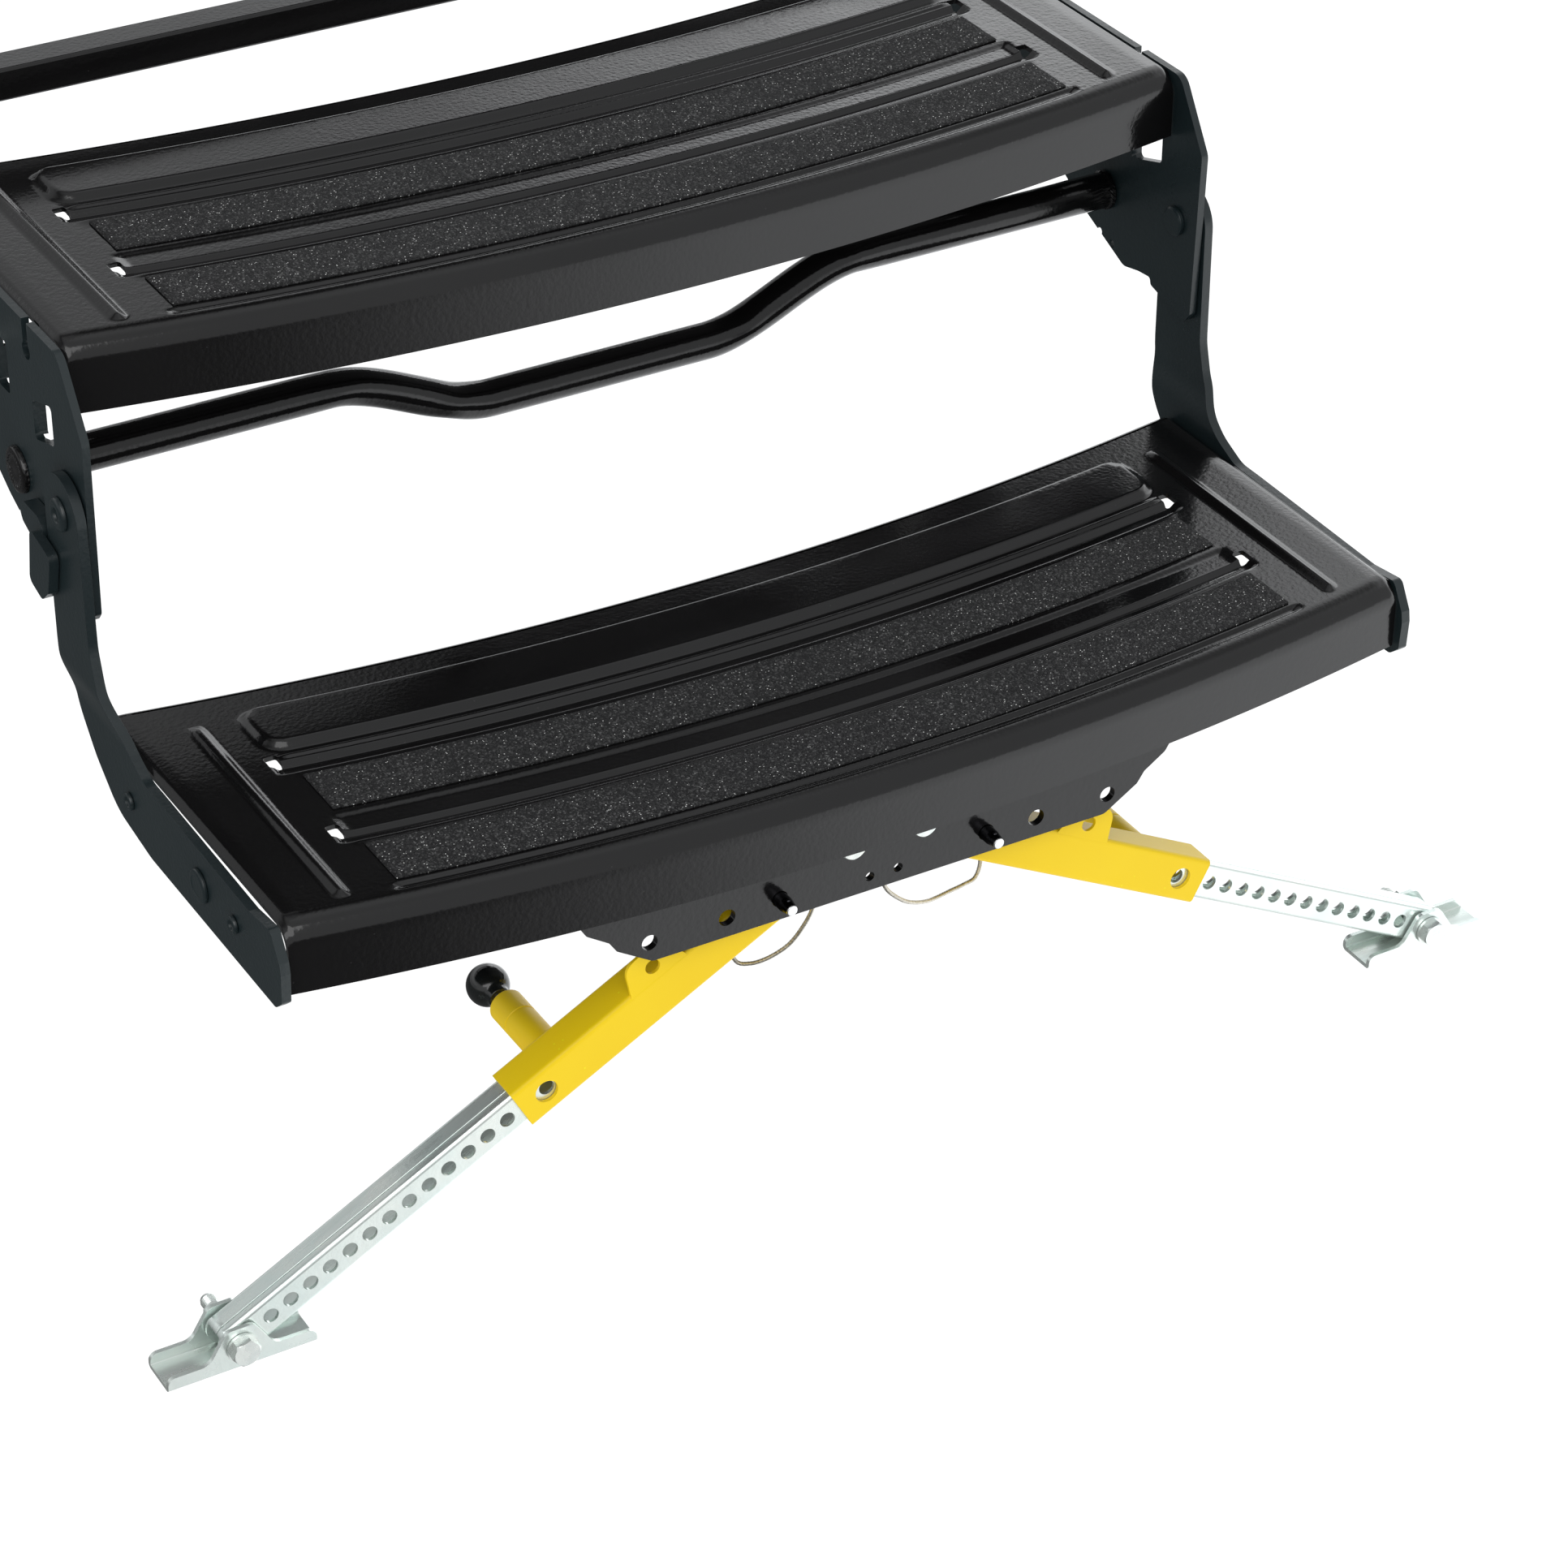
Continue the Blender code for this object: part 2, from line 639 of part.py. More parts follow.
for side, mark in ((-1, "L"), (1, "R")):
    outline = fillet(ARM, ARM_ROUND)
    head = [
        (ARM_PIVOT[0] + 20 * math.cos(a), ARM_PIVOT[1] + 20 * math.sin(a))
        for a in (math.pi * (1 - k / 9) for k in range(1, 9))
    ]
    outline = outline + head
    span = spread(side, ARM_LOW_IN, ARM_LOW_IN + ARM_T)
    plate = prism(outline, "x", *span)
    cuts = [rod("x", y, z, radius + 0.3, span[0] - 2, span[1] + 2, 12) for y, z, radius, _ in ARM_RIVETS]
    cuts.append(rod("x", *ARM_PIVOT, 5.35, span[0] - 2, span[1] + 2, 12))
    made = as_object(plate, "arm")
    combine(made, [together(cuts)], "DIFFERENCE")
    shape = bmesh.new()
    shape.from_mesh(made.data)
    bpy.data.objects.remove(made, do_unlink=True)
    for z in (JOG_LOW, 9.5, 14, 19, 23.5, JOG_HIGH):
        every = shape.verts[:] + shape.edges[:] + shape.faces[:]
        bmesh.ops.bisect_plane(shape, geom=every, plane_co=(0, 0, z), plane_no=(0, 0, 1))
    for vert in shape.verts:
        vert.co.x += side * jog(vert.co.z)
    bmesh.ops.recalc_face_normals(shape, faces=shape.faces)
    finish("lower_arm_" + mark, "lower_step", PLATE_BLACK, shape)
    for where, (y, z, shank, head_r) in zip(("front", "middle", "rear"), ARM_RIVETS):
        profile = [(304.4, head_r * 0.9), (307.2, head_r), (307.2, shank), (315.8, shank), (315.8, head_r)]
        profile += [(317.2, head_r * 0.97), (317.8, head_r * 0.82)]
        if shank < 4:
            profile += [(317.8, head_r * 0.45), (316.6, head_r * 0.4), (316.6, 0.4)]
        profile = [(side * t, radius) for t, radius in profile]
        finish("arm_rivet_%s_%s" % (where, mark), "lower_step", PLATE_BLACK, lathe("x", y, z, profile, 14))

# Leg bracket under the front lip, its hanger and its bolts
BRACKET = [(-166, -6), (-166, -50), (-163, -57), (-151, -60), (-147, -64), (-128, -75), (128, -75)]
BRACKET += [(147, -64), (151, -60), (163, -57), (166, -50), (166, -6)]
bracket = prism(fillet(BRACKET, [0, 3, 3, 3, 3, 3, 3, 3, 3, 3, 3, 0]), "y", -11, -7)
wings = [box(-158, -62, -7.6, 28, -7.4, -4.4), box(62, 158, -7.6, 28, -7.4, -4.4)]
webs = [box(-158, -62, -11, -7, -8, -4.4), box(62, 158, -11, -7, -8, -4.4)]
cuts = []
for side in (-1, 1):
    cuts.append(rod("y", side * 129.4, -64, 4.25, -14, -4, 10))
    cuts.append(rod("y", side * 87.4, -64, 4.5, -14, -4, 10))
    cuts.append(rod("y", side * PIN_X, PIN_Z, 4.35, -14, -4, 12))
    cuts.append(rod("y", side * 20, -43, 4.3, -14, -4, 12))
    cuts.append(rod("y", side * 8, -67, 2.5, -14, -4, 8))
finish("leg_bracket", "lower_step", BLACK, bracket, webs + wings, [together(cuts)])
hanger = box(-29, 29, -6.6, -3.6, -58, -3.4)
nuts = [prism(ring(side * 20, -43, 7.5, 6), "y", -4, 2.5) for side in (-1, 1)]
shelf = [box(-29, 29, -6.6, 26, -6.4, -3.4)]
cuts = [together([rod("y", side * 20, -43, 4.3, -10, 6, 12) for side in (-1, 1)])]
finish("bracket_hanger", "lower_step", BLACK, hanger, shelf + nuts, cuts)
for side, mark in ((-1, "L"), (1, "R")):
    head = prism(ring(side * 20, -43, 7.5, 6, math.pi / 6), "y", -16.6, -11.3)
    shank = rod("y", side * 20, -43, 4.0, -12.0, 6.0, 12)
    finish("bracket_bolt_" + mark, "lower_step", ZINC, head, [shank])


# Lanyard routes from the bracket bolt behind the plate to the pin's ring, each hanging in its own way
LANYARD = {}
LANYARD["L"] = [
    (20.5, 8.0, -57.0), (24.0, 8.2, -75.0), (29.0, 8.3, -91.0), (33.1, 11.0, -102.2), (37.7, 14.0, -111.0),
    (43.1, 17.0, -116.7), (49.3, 20.0, -120.7), (54.9, 24.0, -123.4), (60.0, 28.0, -123.0), (63.2, 30.5, -114.0),
    (63.0, 32.5, -102.0), (61.5, 36.0, -86.0), (59.8, 40.0, -70.0),
]
LANYARD["R"] = [
    (20.5, 8.0, -57.0), (13.5, 7.6, -70.0), (10.5, 7.8, -83.0), (14.0, 8.6, -93.5), (24.4, 11.0, -104.7),
    (33.7, 14.0, -111.2), (43.7, 18.0, -116.1), (51.3, 20.5, -117.8), (60.2, 22.5, -118.2), (68.7, 23.8, -118.1),
    (76.5, 25.0, -116.7), (81.0, 28.0, -109.0), (79.5, 31.5, -98.5), (73.5, 35.0, -87.0), (66.0, 38.0, -76.5),
    (59.8, 40.0, -70.0),
]


def leg_prism(side, outline, low, high):
    """An outline drawn in a leg's own plane, extruded through the leg."""
    return prism([on_leg(side, u, v) for u, v in outline], "y", low, high)


def leg_tube(side, u0, u1, section):
    """A section in (y, v), extruded along a leg."""
    count = len(section)
    verts = []
    for u in (u0, u1):
        for y, v in section:
            x, z = on_leg(side, u, v)
            verts.append((x, y, z))
    faces = [list(range(count)), list(range(count, 2 * count))]
    for i in range(count):
        j = (i + 1) % count
        faces.append([i, j, count + j, count + i])
    return solid(verts, faces)


OUT_V0 = LEG_V - OUTER_H / 2
OUT_V1 = LEG_V + OUTER_H / 2
IN_V0 = OUT_V0 + WALL + INNER_GAP
IN_V1 = OUT_V1 - WALL - INNER_GAP
IN_Y0 = OUTER_Y0 + WALL + INNER_GAP
IN_Y1 = OUTER_Y1 - WALL - INNER_GAP

for side, mark in ((-1, "L"), (1, "R")):
    section = [(OUTER_Y0, OUT_V0), (OUTER_Y1, OUT_V0), (OUTER_Y1, OUT_V1), (OUTER_Y0, OUT_V1)]
    tube = leg_tube(side, OUTER_U0, OUTER_U1, fillet(section, 2.6))
    section = [(OUTER_Y0 + WALL, OUT_V0 + WALL), (OUTER_Y1 - WALL, OUT_V0 + WALL)]
    section += [(OUTER_Y1 - WALL, OUT_V1 - WALL), (OUTER_Y0 + WALL, OUT_V1 - WALL)]
    hollow = leg_tube(side, OUTER_U0 - 5, OUTER_U1 + 5, section)
    ear = fillet([(50, 2), (57, 20), (62, 24), (80, 22), (86, 2)], [0, 6, 6, 8, 0])
    ear = leg_prism(side, ear, OUTER_Y0 + 0.15, OUTER_Y0 + WALL - 0.15)
    plunger_x, plunger_z = on_leg(side, PLUNGER_U, LEG_V)
    barrel = rod("y", plunger_x, plunger_z, 9.0, OUTER_Y1 - 0.6, 61.0, 14)
    cuts = []
    x, z = on_leg(side, 0, 0)
    cuts.append(rod("y", x, z, 4.35, OUTER_Y0 - 3, OUTER_Y1 + 3, 12))
    x, z = on_leg(side, 144, LEG_V)
    cuts.append(rod("y", x, z, 6.0, OUTER_Y0 - 3, OUTER_Y0 + WALL + 1, 14))
    x, z = on_leg(side, 68, 12.3)
    cuts.append(rod("y", x, z, 4.0, OUTER_Y0 - 3, OUTER_Y0 + WALL + 1, 14))
    bore = lathe(
        "y",
        plunger_x,
        plunger_z,
        [(OUTER_Y1 - WALL - 1, 4.3), (OUTER_Y1 + 1, 4.3), (OUTER_Y1 + 1, 6.3), (57, 6.3), (57, 3.4), (64, 3.4)],
        12,
    )
    finish("leg_outer_" + mark, "leg_" + mark, YELLOW, tube, [ear, barrel], [hollow, together(cuts), bore])

    # Quick pin with its pull ring
    profile = [(-23.0, 2.5), (-22.6, 2.9), (-16.4, 4.0), (21.0, 4.0), (21.0, 6.5), (26.0, 6.5), (27.0, 5.0)]
    x = side * PIN_X
    pin = lathe("y", x, PIN_Z, profile, 12)
    pull = loop_ring((x, 34.5, PIN_Z), 9.5, 1.3, (0, 0, 1), 12, 5)
    bead = ball((x, -18.6, PIN_Z + 3.2), 1.0, 4, 6)
    finish("quick_pin_" + mark, "pin_" + mark, STEEL, pin, [pull, bead])

    # Plunger with its ball knob, and its spring
    profile = [(15.1, 2.6), (16.2, 3.6), (24.0, 3.6), (24.0, 5.6), (26.0, 5.6), (26.0, 3.0)]
    profile += [(KNOB_Y - 13.0, 3.0), (KNOB_Y - 13.0, 5.5), (KNOB_Y - 10.0, 5.5)]
    for k in range(1, 8):
        angle = math.pi * k / 8
        if KNOB_R * math.sin(angle) > 5.6 or k > 4:
            profile.append((KNOB_Y - KNOB_R * math.cos(angle), KNOB_R * math.sin(angle)))
    profile.append((KNOB_Y + KNOB_R, 1.0))
    finish("plunger_" + mark, "plunger_" + mark, KNOB, lathe("y", plunger_x, plunger_z, profile, 12))
    turns = 4
    per_turn = 7
    coil = []
    for k in range(turns * per_turn + 1):
        angle = 2 * math.pi * k / per_turn
        y = 27.2 + (47.4 - 27.2) * k / (turns * per_turn)
        coil.append((plunger_x + 4.75 * math.cos(angle), y, plunger_z + 4.75 * math.sin(angle)))
    finish("plunger_spring_" + mark, "plunger_" + mark, STEEL, sweep(coil, 0.7, 4))

    # Inner tube, open along a seam, with its row of holes and a round nose
    section = [(IN_Y0, IN_V0), (IN_Y1, IN_V0), (IN_Y1, IN_V1), (IN_Y0 + 5.6, IN_V1)]
    section += [(IN_Y0 + 5.6, IN_V1 - INNER_WALL), (IN_Y1 - INNER_WALL, IN_V1 - INNER_WALL)]
    section += [(IN_Y1 - INNER_WALL, IN_V0 + INNER_WALL), (IN_Y0 + INNER_WALL, IN_V0 + INNER_WALL)]
    section += [(IN_Y0 + INNER_WALL, IN_V1 - INNER_WALL), (IN_Y0 + 4.6, IN_V1 - INNER_WALL)]
    section += [(IN_Y0 + 4.6, IN_V1), (IN_Y0, IN_V1)]
    section = fillet(section, [2.4, 2.4, 2.4, 0, 0, 0.8, 0.8, 0.8, 0.8, 0, 0, 2.4])
    tube = leg_tube(side, INNER_U0, FOOT_U + 12, section)
    nose = [(INNER_U0 - 3, IN_V0 - 2), (FOOT_U, IN_V0 - 2), (FOOT_U, IN_V0)]
    for k in range(1, 8):
        angle = -math.pi / 2 + math.pi * k / 8
        reach = (IN_V1 - IN_V0) / 2
        nose.append((FOOT_U + reach * math.cos(angle), LEG_V + reach * math.sin(angle)))
    nose += [(FOOT_U, IN_V1), (FOOT_U, IN_V1 + 2), (INNER_U0 - 3, IN_V1 + 2)]
    cuts = []
    for k in range(-HOLES_IN, HOLES_OUT):
        x, z = on_leg(side, HOLE_U0 + k * HOLE_PITCH, LEG_V)
        cuts.append(rod("y", x, z, 4.0, IN_Y0 - 3, IN_Y1 + 3, 9))
    cuts.append(rod("y", side * foot_x, FOOT_Z, 4.3, IN_Y0 - 3, IN_Y1 + 3, 12))
    finish(
        "leg_inner_" + mark,
        "inner_" + mark,
        ZINC,
        tube,
        cut=[together(cuts)],
        keep=[leg_prism(side, nose, IN_Y0 - 2, IN_Y1 + 2)],
    )

    # Foot channel, its bolt and its nut
    x = side * foot_x
    base = FOOT_Z - FOOT_DROP
    front = IN_Y0 - 1.2 - 2.4
    rear = IN_Y1 + 1.2 + 2.4
    floor = box(x - FOOT_HALF, x + FOOT_HALF, front + 0.3, rear - 0.3, base, base + 2.4)
    cheek = [(-FOOT_HALF, 0), (FOOT_HALF, 0), (FOOT_HALF, 8), (17, 8), (7, 24), (-7, 24), (-17, 8), (-FOOT_HALF, 8)]
    cheek = fillet(cheek, [0, 0, 5, 7, 5, 5, 7, 5])
    cheek = [(x + a, base + b) for a, b in cheek]
    cheeks = [prism(cheek, "y", front, front + 2.4), prism(cheek, "y", rear - 2.4, rear)]
    hole = rod("y", x, FOOT_Z, 4.3, front - 4, rear + 4, 14)
    finish("foot_" + mark, "foot_" + mark, ZINC, floor, cheeks, [hole])
    head = prism(ring(x, FOOT_Z, 7.5, 6, 0.2), "y", front - 6.6, front - 1.6)
    washer = rod("y", x, FOOT_Z, 8.0, front - 1.8, front - 0.3, 16)
    shank = rod("y", x, FOOT_Z, 4.0, front - 2.0, 36.0, 12)
    finish("foot_bolt_" + mark, "inner_" + mark, ZINC, head, [washer, shank])
    nut = prism(ring(x, FOOT_Z, 7.5, 6, 0.5), "y", rear + 0.4, rear + 8.0)
    bore = rod("y", x, FOOT_Z, 4.3, rear - 3, rear + 12, 12)
    finish("foot_nut_" + mark, "inner_" + mark, ZINC, nut, cut=[bore])

    loop = [(side * px, py, pz) for px, py, pz in LANYARD[mark]]
    finish("lanyard_" + mark, "lower_step", ROPE, sweep(loop, 1.1, 5))
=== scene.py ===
import json
import math
import random

import bmesh
import bpy
from mathutils import Matrix, Vector


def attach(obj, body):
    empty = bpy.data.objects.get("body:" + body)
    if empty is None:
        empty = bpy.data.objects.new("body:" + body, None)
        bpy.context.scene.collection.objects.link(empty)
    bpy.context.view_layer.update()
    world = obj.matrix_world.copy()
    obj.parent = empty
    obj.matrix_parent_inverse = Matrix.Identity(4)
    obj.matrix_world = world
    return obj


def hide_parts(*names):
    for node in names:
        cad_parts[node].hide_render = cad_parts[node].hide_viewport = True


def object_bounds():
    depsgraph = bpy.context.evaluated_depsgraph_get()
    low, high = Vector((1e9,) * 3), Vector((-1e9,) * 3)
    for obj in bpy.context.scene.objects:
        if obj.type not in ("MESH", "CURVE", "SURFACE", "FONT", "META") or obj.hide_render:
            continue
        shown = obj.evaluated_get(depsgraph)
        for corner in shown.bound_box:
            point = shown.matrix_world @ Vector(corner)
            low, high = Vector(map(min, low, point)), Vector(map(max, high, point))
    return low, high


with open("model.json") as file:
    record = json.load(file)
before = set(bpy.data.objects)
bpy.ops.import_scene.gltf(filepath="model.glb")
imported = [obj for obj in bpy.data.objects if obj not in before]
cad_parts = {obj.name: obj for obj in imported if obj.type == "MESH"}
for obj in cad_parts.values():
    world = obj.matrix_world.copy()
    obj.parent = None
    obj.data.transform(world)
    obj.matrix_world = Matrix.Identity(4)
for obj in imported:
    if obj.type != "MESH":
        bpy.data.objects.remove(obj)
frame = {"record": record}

cad_low, cad_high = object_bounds()

# ---- driving dimensions
# Millimetres in the step's own frame: x to the right, y to the rear, z up. The ends of the lower tread's
# front edge are at y = 0 and its top is at z = 0. ORIGIN is the CAD frame's origin, seen from there.

MM = 0.001
ORIGIN = Vector((0.0, 450.5, 232.0))
SIDES = ((-1, "L"), (1, "R"))
ROUND = 40
PLAY = 0.3
PIVOT_HOLE = 5.3

# the camera, with its clipping in metres
CAM_SENSOR = 36.0
CAM_LENS = 106.24
CAM_CLIP = (0.05, 60.0)
CAM_AT = Vector((-980.9, -1588.7, 1188.4))
CAM_TO = Vector((-42.5, 12.9, -16.0))
CAM_ROLL = math.radians(0.36)

# both treads: v runs to the rear from the bowed front edge
TREAD_HALF = 310.0
UPPER_HALF = 310.2
SHEET = 2.5
ARC_SPAN = 312.0
ARC_RISE = 29.0
LIP = 37.0
FRONT_BEND = 12.0
BACK_BEND_V = 203.0
BACK_V = 211.0
RUN = 218.5
RISE = 195.6
GRIP_HALF = 249.0
GRIP_DEPTH = 33.5
GRIP_THICK = 0.9
GRIP_V = (20.5, 87.5)
GRIP_RAG = 0.3
SLOT_X = 256.0
SLOT_V = (70.5, 138.5)
SLOT_HALF = (3.3, 4.5)

# frame and fold links
FRAME_F = (482.0, 209.0)
FRAME_R = (554.0, 209.0)
RAIL_IN = 332.0
RAIL_T = 3.0
RAIL_FOOT = 16.0
RAIL_OUT = 371.0
RAIL_Y0 = 436.0
RAIL_Y1 = 645.0
RAIL_Z0 = 185.0
RAIL_SLOT_X = 353.5
RAIL_SLOT_Y = (470.0, 611.0)
TOP_Z = 232.0
BAR_Y = (450.5, 630.5)
BAR_DEPTH = 21.0
BAR_H = 17.4
BAR_WALL = 2.0
LINK_IN = 322.5
LINK_T = 5.0
LINK_HALF = 13.0
LINK_LEN = 150.0
LINK_TURN = math.radians(210.0)
STEP_F = (FRAME_F[0] + LINK_LEN * math.cos(LINK_TURN), FRAME_F[1] + LINK_LEN * math.sin(LINK_TURN))
STEP_R = (STEP_F[0] + FRAME_R[0] - FRAME_F[0], STEP_F[1])

# side plates, arms and cross rod
PLATE_IN = 310.5
PLATE_T = 4.0
WINDOWS = ((239.0, 146.0, 24.0, 21.0, 0.3), (287.0, 156.0, 14.0, 28.0, 0.0))
LEAF_TOP = 160.8
NOTCH_Y = (250.0, 256.0)
NOTCH_END = (178.0, 4.6)
ARM_T = 5.0
ARM_SHIFT = 4.8
JOG_LOW = 5.0
JOG_HIGH = 28.0
ARM_PIVOT = (211.0, 112.5)
ARM_EYE = 20.0
ARM_RIVETS = ((45.0, -23.0, 3.0, 4.6), (83.0, -24.0, 5.0, 8.8), (164.0, -23.0, 3.0, 4.6))
ROD_R = 9.8
ROD_Y = 276.0
ROD_Z = 103.7
ROD_DROP = 28.0
ROD_LOW_HALF = 62.0
ROD_RAMP = 90.0
ROD_HALF = 303.0

# leg bracket
BRACKET_Y = (-11.0, -7.0)
PIN_X = 58.3
PIN_Z = -63.0
BOLT_X = 20.0
BOLT_Z = -43.0
HEX_R = 7.5
M8 = 4.0
M8_HOLE = 4.3
M8_PITCH = 1.25

# legs: u runs out along the leg from its quick pin, and v across it
LEG_TURN = math.radians(28.0)
LEG_V = -6.5
OUTER_H = 25.0
OUTER_Y0 = -4.0
OUTER_Y1 = 17.0
OUTER_U0 = -25.0
OUTER_U1 = 159.0
WALL = 2.0
INNER_GAP = 0.4
INNER_WALL = 1.8
INNER_U0 = 104.0
HOLE_PITCH = 12.05
HOLE_U0 = 166.9
PLUNGER_U = HOLE_U0 - 3 * HOLE_PITCH
KNOB_Y = 80.0
KNOB_R = 11.0
SPRING_Y = (27.2, 47.4)
SPRING_R = 4.75
SPRING_TURNS = 4
PIN_BRIGHT_Y = -22.3
RING_Y = 34.5
FOOT_U = 331.0
FOOT_DROP = 13.0
FOOT_HALF = 38.5
FOOT_SHEET = 2.4
FOOT_PLAY = 1.2
FOOT_H = 24.0
FOOT_BOLT_END = 36.0
OUT_V0 = LEG_V - OUTER_H / 2
OUT_V1 = LEG_V + OUTER_H / 2
IN_V0 = OUT_V0 + WALL + INNER_GAP
IN_V1 = OUT_V1 - WALL - INNER_GAP
IN_Y0 = OUTER_Y0 + WALL + INNER_GAP
IN_Y1 = OUTER_Y1 - WALL - INNER_GAP
FOOT_Y0 = IN_Y0 - FOOT_PLAY - FOOT_SHEET
FOOT_Y1 = IN_Y1 + FOOT_PLAY + FOOT_SHEET

# lanyards, mirrored for the left one
ROPE_R = 1.1
LANYARD = {
    "L": [
        (20.5, 8.0, -57.0), (24.0, 8.2, -75.0), (29.0, 8.3, -91.0), (33.1, 11.0, -102.2),
        (37.7, 14.0, -111.0), (43.1, 17.0, -116.7), (49.3, 20.0, -120.7), (54.9, 24.0, -123.4),
        (60.0, 28.0, -123.0), (63.2, 30.5, -114.0), (63.0, 32.5, -102.0), (61.5, 36.0, -86.0),
        (59.8, 40.0, -70.0),
    ],
    "R": [
        (20.5, 8.0, -57.0), (13.5, 7.6, -70.0), (10.5, 7.8, -83.0), (14.0, 8.6, -93.5),
        (24.4, 11.0, -104.7), (33.7, 14.0, -111.2), (43.7, 18.0, -116.1), (51.3, 20.5, -117.8),
        (60.2, 22.5, -118.2), (68.7, 23.8, -118.1), (76.5, 25.0, -116.7), (81.0, 28.0, -109.0),
        (79.5, 31.5, -98.5), (73.5, 35.0, -87.0), (66.0, 38.0, -76.5), (59.8, 40.0, -70.0),
    ],
}

# floor and key light, in metres
FLOOR_HALF = 14.0
KEY_AT = (-1.7, -2.6, 2.4)
KEY_TO = (0.0, -0.2, -0.2)
KEY_SIZE = 2.8
KEY_WATTS = 48.0

# ---- camera


def add_camera():
    data = bpy.data.cameras.new("camera")
    made = bpy.data.objects.new("camera", data)
    bpy.context.scene.collection.objects.link(made)
    bpy.context.scene.camera = made
    data.sensor_width = CAM_SENSOR
    data.lens = CAM_LENS
    data.clip_start = CAM_CLIP[0]
    data.clip_end = CAM_CLIP[1]
    forward = (CAM_TO - CAM_AT).normalized()
    right = forward.cross(Vector((0, 0, 1))).normalized()
    upward = right.cross(forward)
    rolled = right * math.cos(CAM_ROLL) + upward * math.sin(CAM_ROLL)
    risen = upward * math.cos(CAM_ROLL) - right * math.sin(CAM_ROLL)
    turn = Matrix((rolled, risen, -forward)).transposed()
    made.matrix_world = Matrix.Translation((CAM_AT - ORIGIN) * MM) @ turn.to_4x4()


add_camera()

# ---- materials


class Nodes:
    """Helpers that add nodes to a material or to the world."""

    def __init__(self, tree):
        self.tree = tree

    def feed(self, value, socket):
        """Sets a number or a colour on a socket, or links an output to it."""
        if isinstance(value, (int, float)):
            socket.default_value = value
        elif isinstance(value, tuple):
            socket.default_value = (*value, 1.0)
        else:
            self.tree.links.new(value, socket)

    def set(self, made, **values):
        """Feeds a node's sockets by name, with _ for a space."""
        for name, value in values.items():
            self.feed(value, made.inputs[name.replace("_", " ")])

    def add(self, kind, **values):
        made = self.tree.nodes.new("ShaderNode" + kind)
        self.set(made, **values)
        return made

    def span(self, value, low, high, start=0.0, end=1.0, smooth=False):
        made = self.add("MapRange", Value=value, From_Min=start, From_Max=end, To_Min=low, To_Max=high)
        made.interpolation_type = "SMOOTHSTEP" if smooth else "LINEAR"
        return made.outputs["Result"]

    def math(self, operation, a, b):
        made = self.add("Math")
        made.operation = operation
        self.feed(a, made.inputs[0])
        self.feed(b, made.inputs[1])
        return made.outputs["Value"]

    def mix(self, share, a, b, kind="RGBA"):
        """A colour between a and b, or with kind FLOAT a number."""
        made = self.add("Mix")
        made.data_type = kind
        first = 6 if kind == "RGBA" else 2
        self.feed(share, made.inputs[0])
        self.feed(a, made.inputs[first])
        self.feed(b, made.inputs[first + 1])
        return made.outputs[2 if kind == "RGBA" else 0]

    def parts(self, kind, value):
        """The three outputs of a Separate Color or Separate XYZ node."""
        made = self.add("Separate" + kind)
        self.feed(value, made.inputs[0])
        return made.outputs


class Paint(Nodes):
    """A Principled material with helpers for its nodes."""

    def __init__(self, name, color, metallic, roughness):
        self.made = bpy.data.materials.new(name)
        self.made.use_nodes = True
        super().__init__(self.made.node_tree)
        self.shader = self.tree.nodes["Principled BSDF"]
        self.finish(Base_Color=color, Metallic=metallic, Roughness=roughness)
        self.spot = self.add("TexCoord").outputs["Object"]

    def finish(self, **values):
        self.set(self.shader, **values)

    def stretched(self, scale):
        made = self.add("Mapping", Vector=self.spot)
        made.inputs["Scale"].default_value = scale
        return made.outputs["Vector"]

    def noise(self, scale, detail=2.0, rough=0.5, vector=None, distortion=0.0):
        made = self.add("TexNoise", Scale=scale, Detail=detail, Roughness=rough, Distortion=distortion)
        self.feed(vector or self.spot, made.inputs["Vector"])
        return made.outputs["Fac"]

    def cells(self, scale):
        return self.add("TexVoronoi", Scale=scale, Vector=self.spot).outputs

    def ramp(self, value, stops):
        made = self.add("ValToRGB", Fac=value)
        elements = made.color_ramp.elements
        elements[0].position = stops[0][0]
        elements[1].position = stops[-1][0]
        elements[0].color = (*stops[0][1], 1.0)
        elements[1].color = (*stops[-1][1], 1.0)
        for at, color in stops[1:-1]:
            elements.new(at).color = (*color, 1.0)
        return made.outputs["Color"]

    def bump(self, heights):
        """heights lists (value, strength, distance in metres), coarse first."""
        last = None
        for value, strength, distance in heights:
            made = self.add("Bump", Strength=strength, Distance=distance, Height=value)
            if last:
                self.set(made, Normal=last)
            last = made.outputs["Normal"]
        self.finish(Normal=last)


def coat_paint(name, dark, light, rough_low, rough_high, peel=0.16, gloss=0.5):
    """Powder coat: a faint orange peel, small changes of gloss and a few dust specks."""
    made = Paint(name, dark, 0.0, rough_low)
    cells = made.cells(260.0)
    near = made.math("LESS_THAN", cells["Distance"], 0.11)
    rare = made.math("GREATER_THAN", made.parts("Color", cells["Color"])["Red"], 0.93)
    speck = made.math("MULTIPLY", made.math("MULTIPLY", near, rare), 0.5)
    base = made.ramp(made.noise(9.0, 3.0, 0.55), [(0.3, dark), (0.7, light)])
    dust = tuple(min(1.0, c * 1.6 + 0.02) for c in light)
    uneven = made.span(made.noise(17.0, 4.0, 0.6), rough_low, rough_high, 0.3, 0.7)
    made.finish(Base_Color=made.mix(speck, base, dust), Roughness=uneven, Specular_IOR_Level=gloss)
    made.bump([
        (made.noise(430.0, 1.5, 0.45), peel, 0.0006),
        (made.noise(1900.0, 2.0, 0.6), peel * 0.5, 0.00015),
    ])
    return made.made


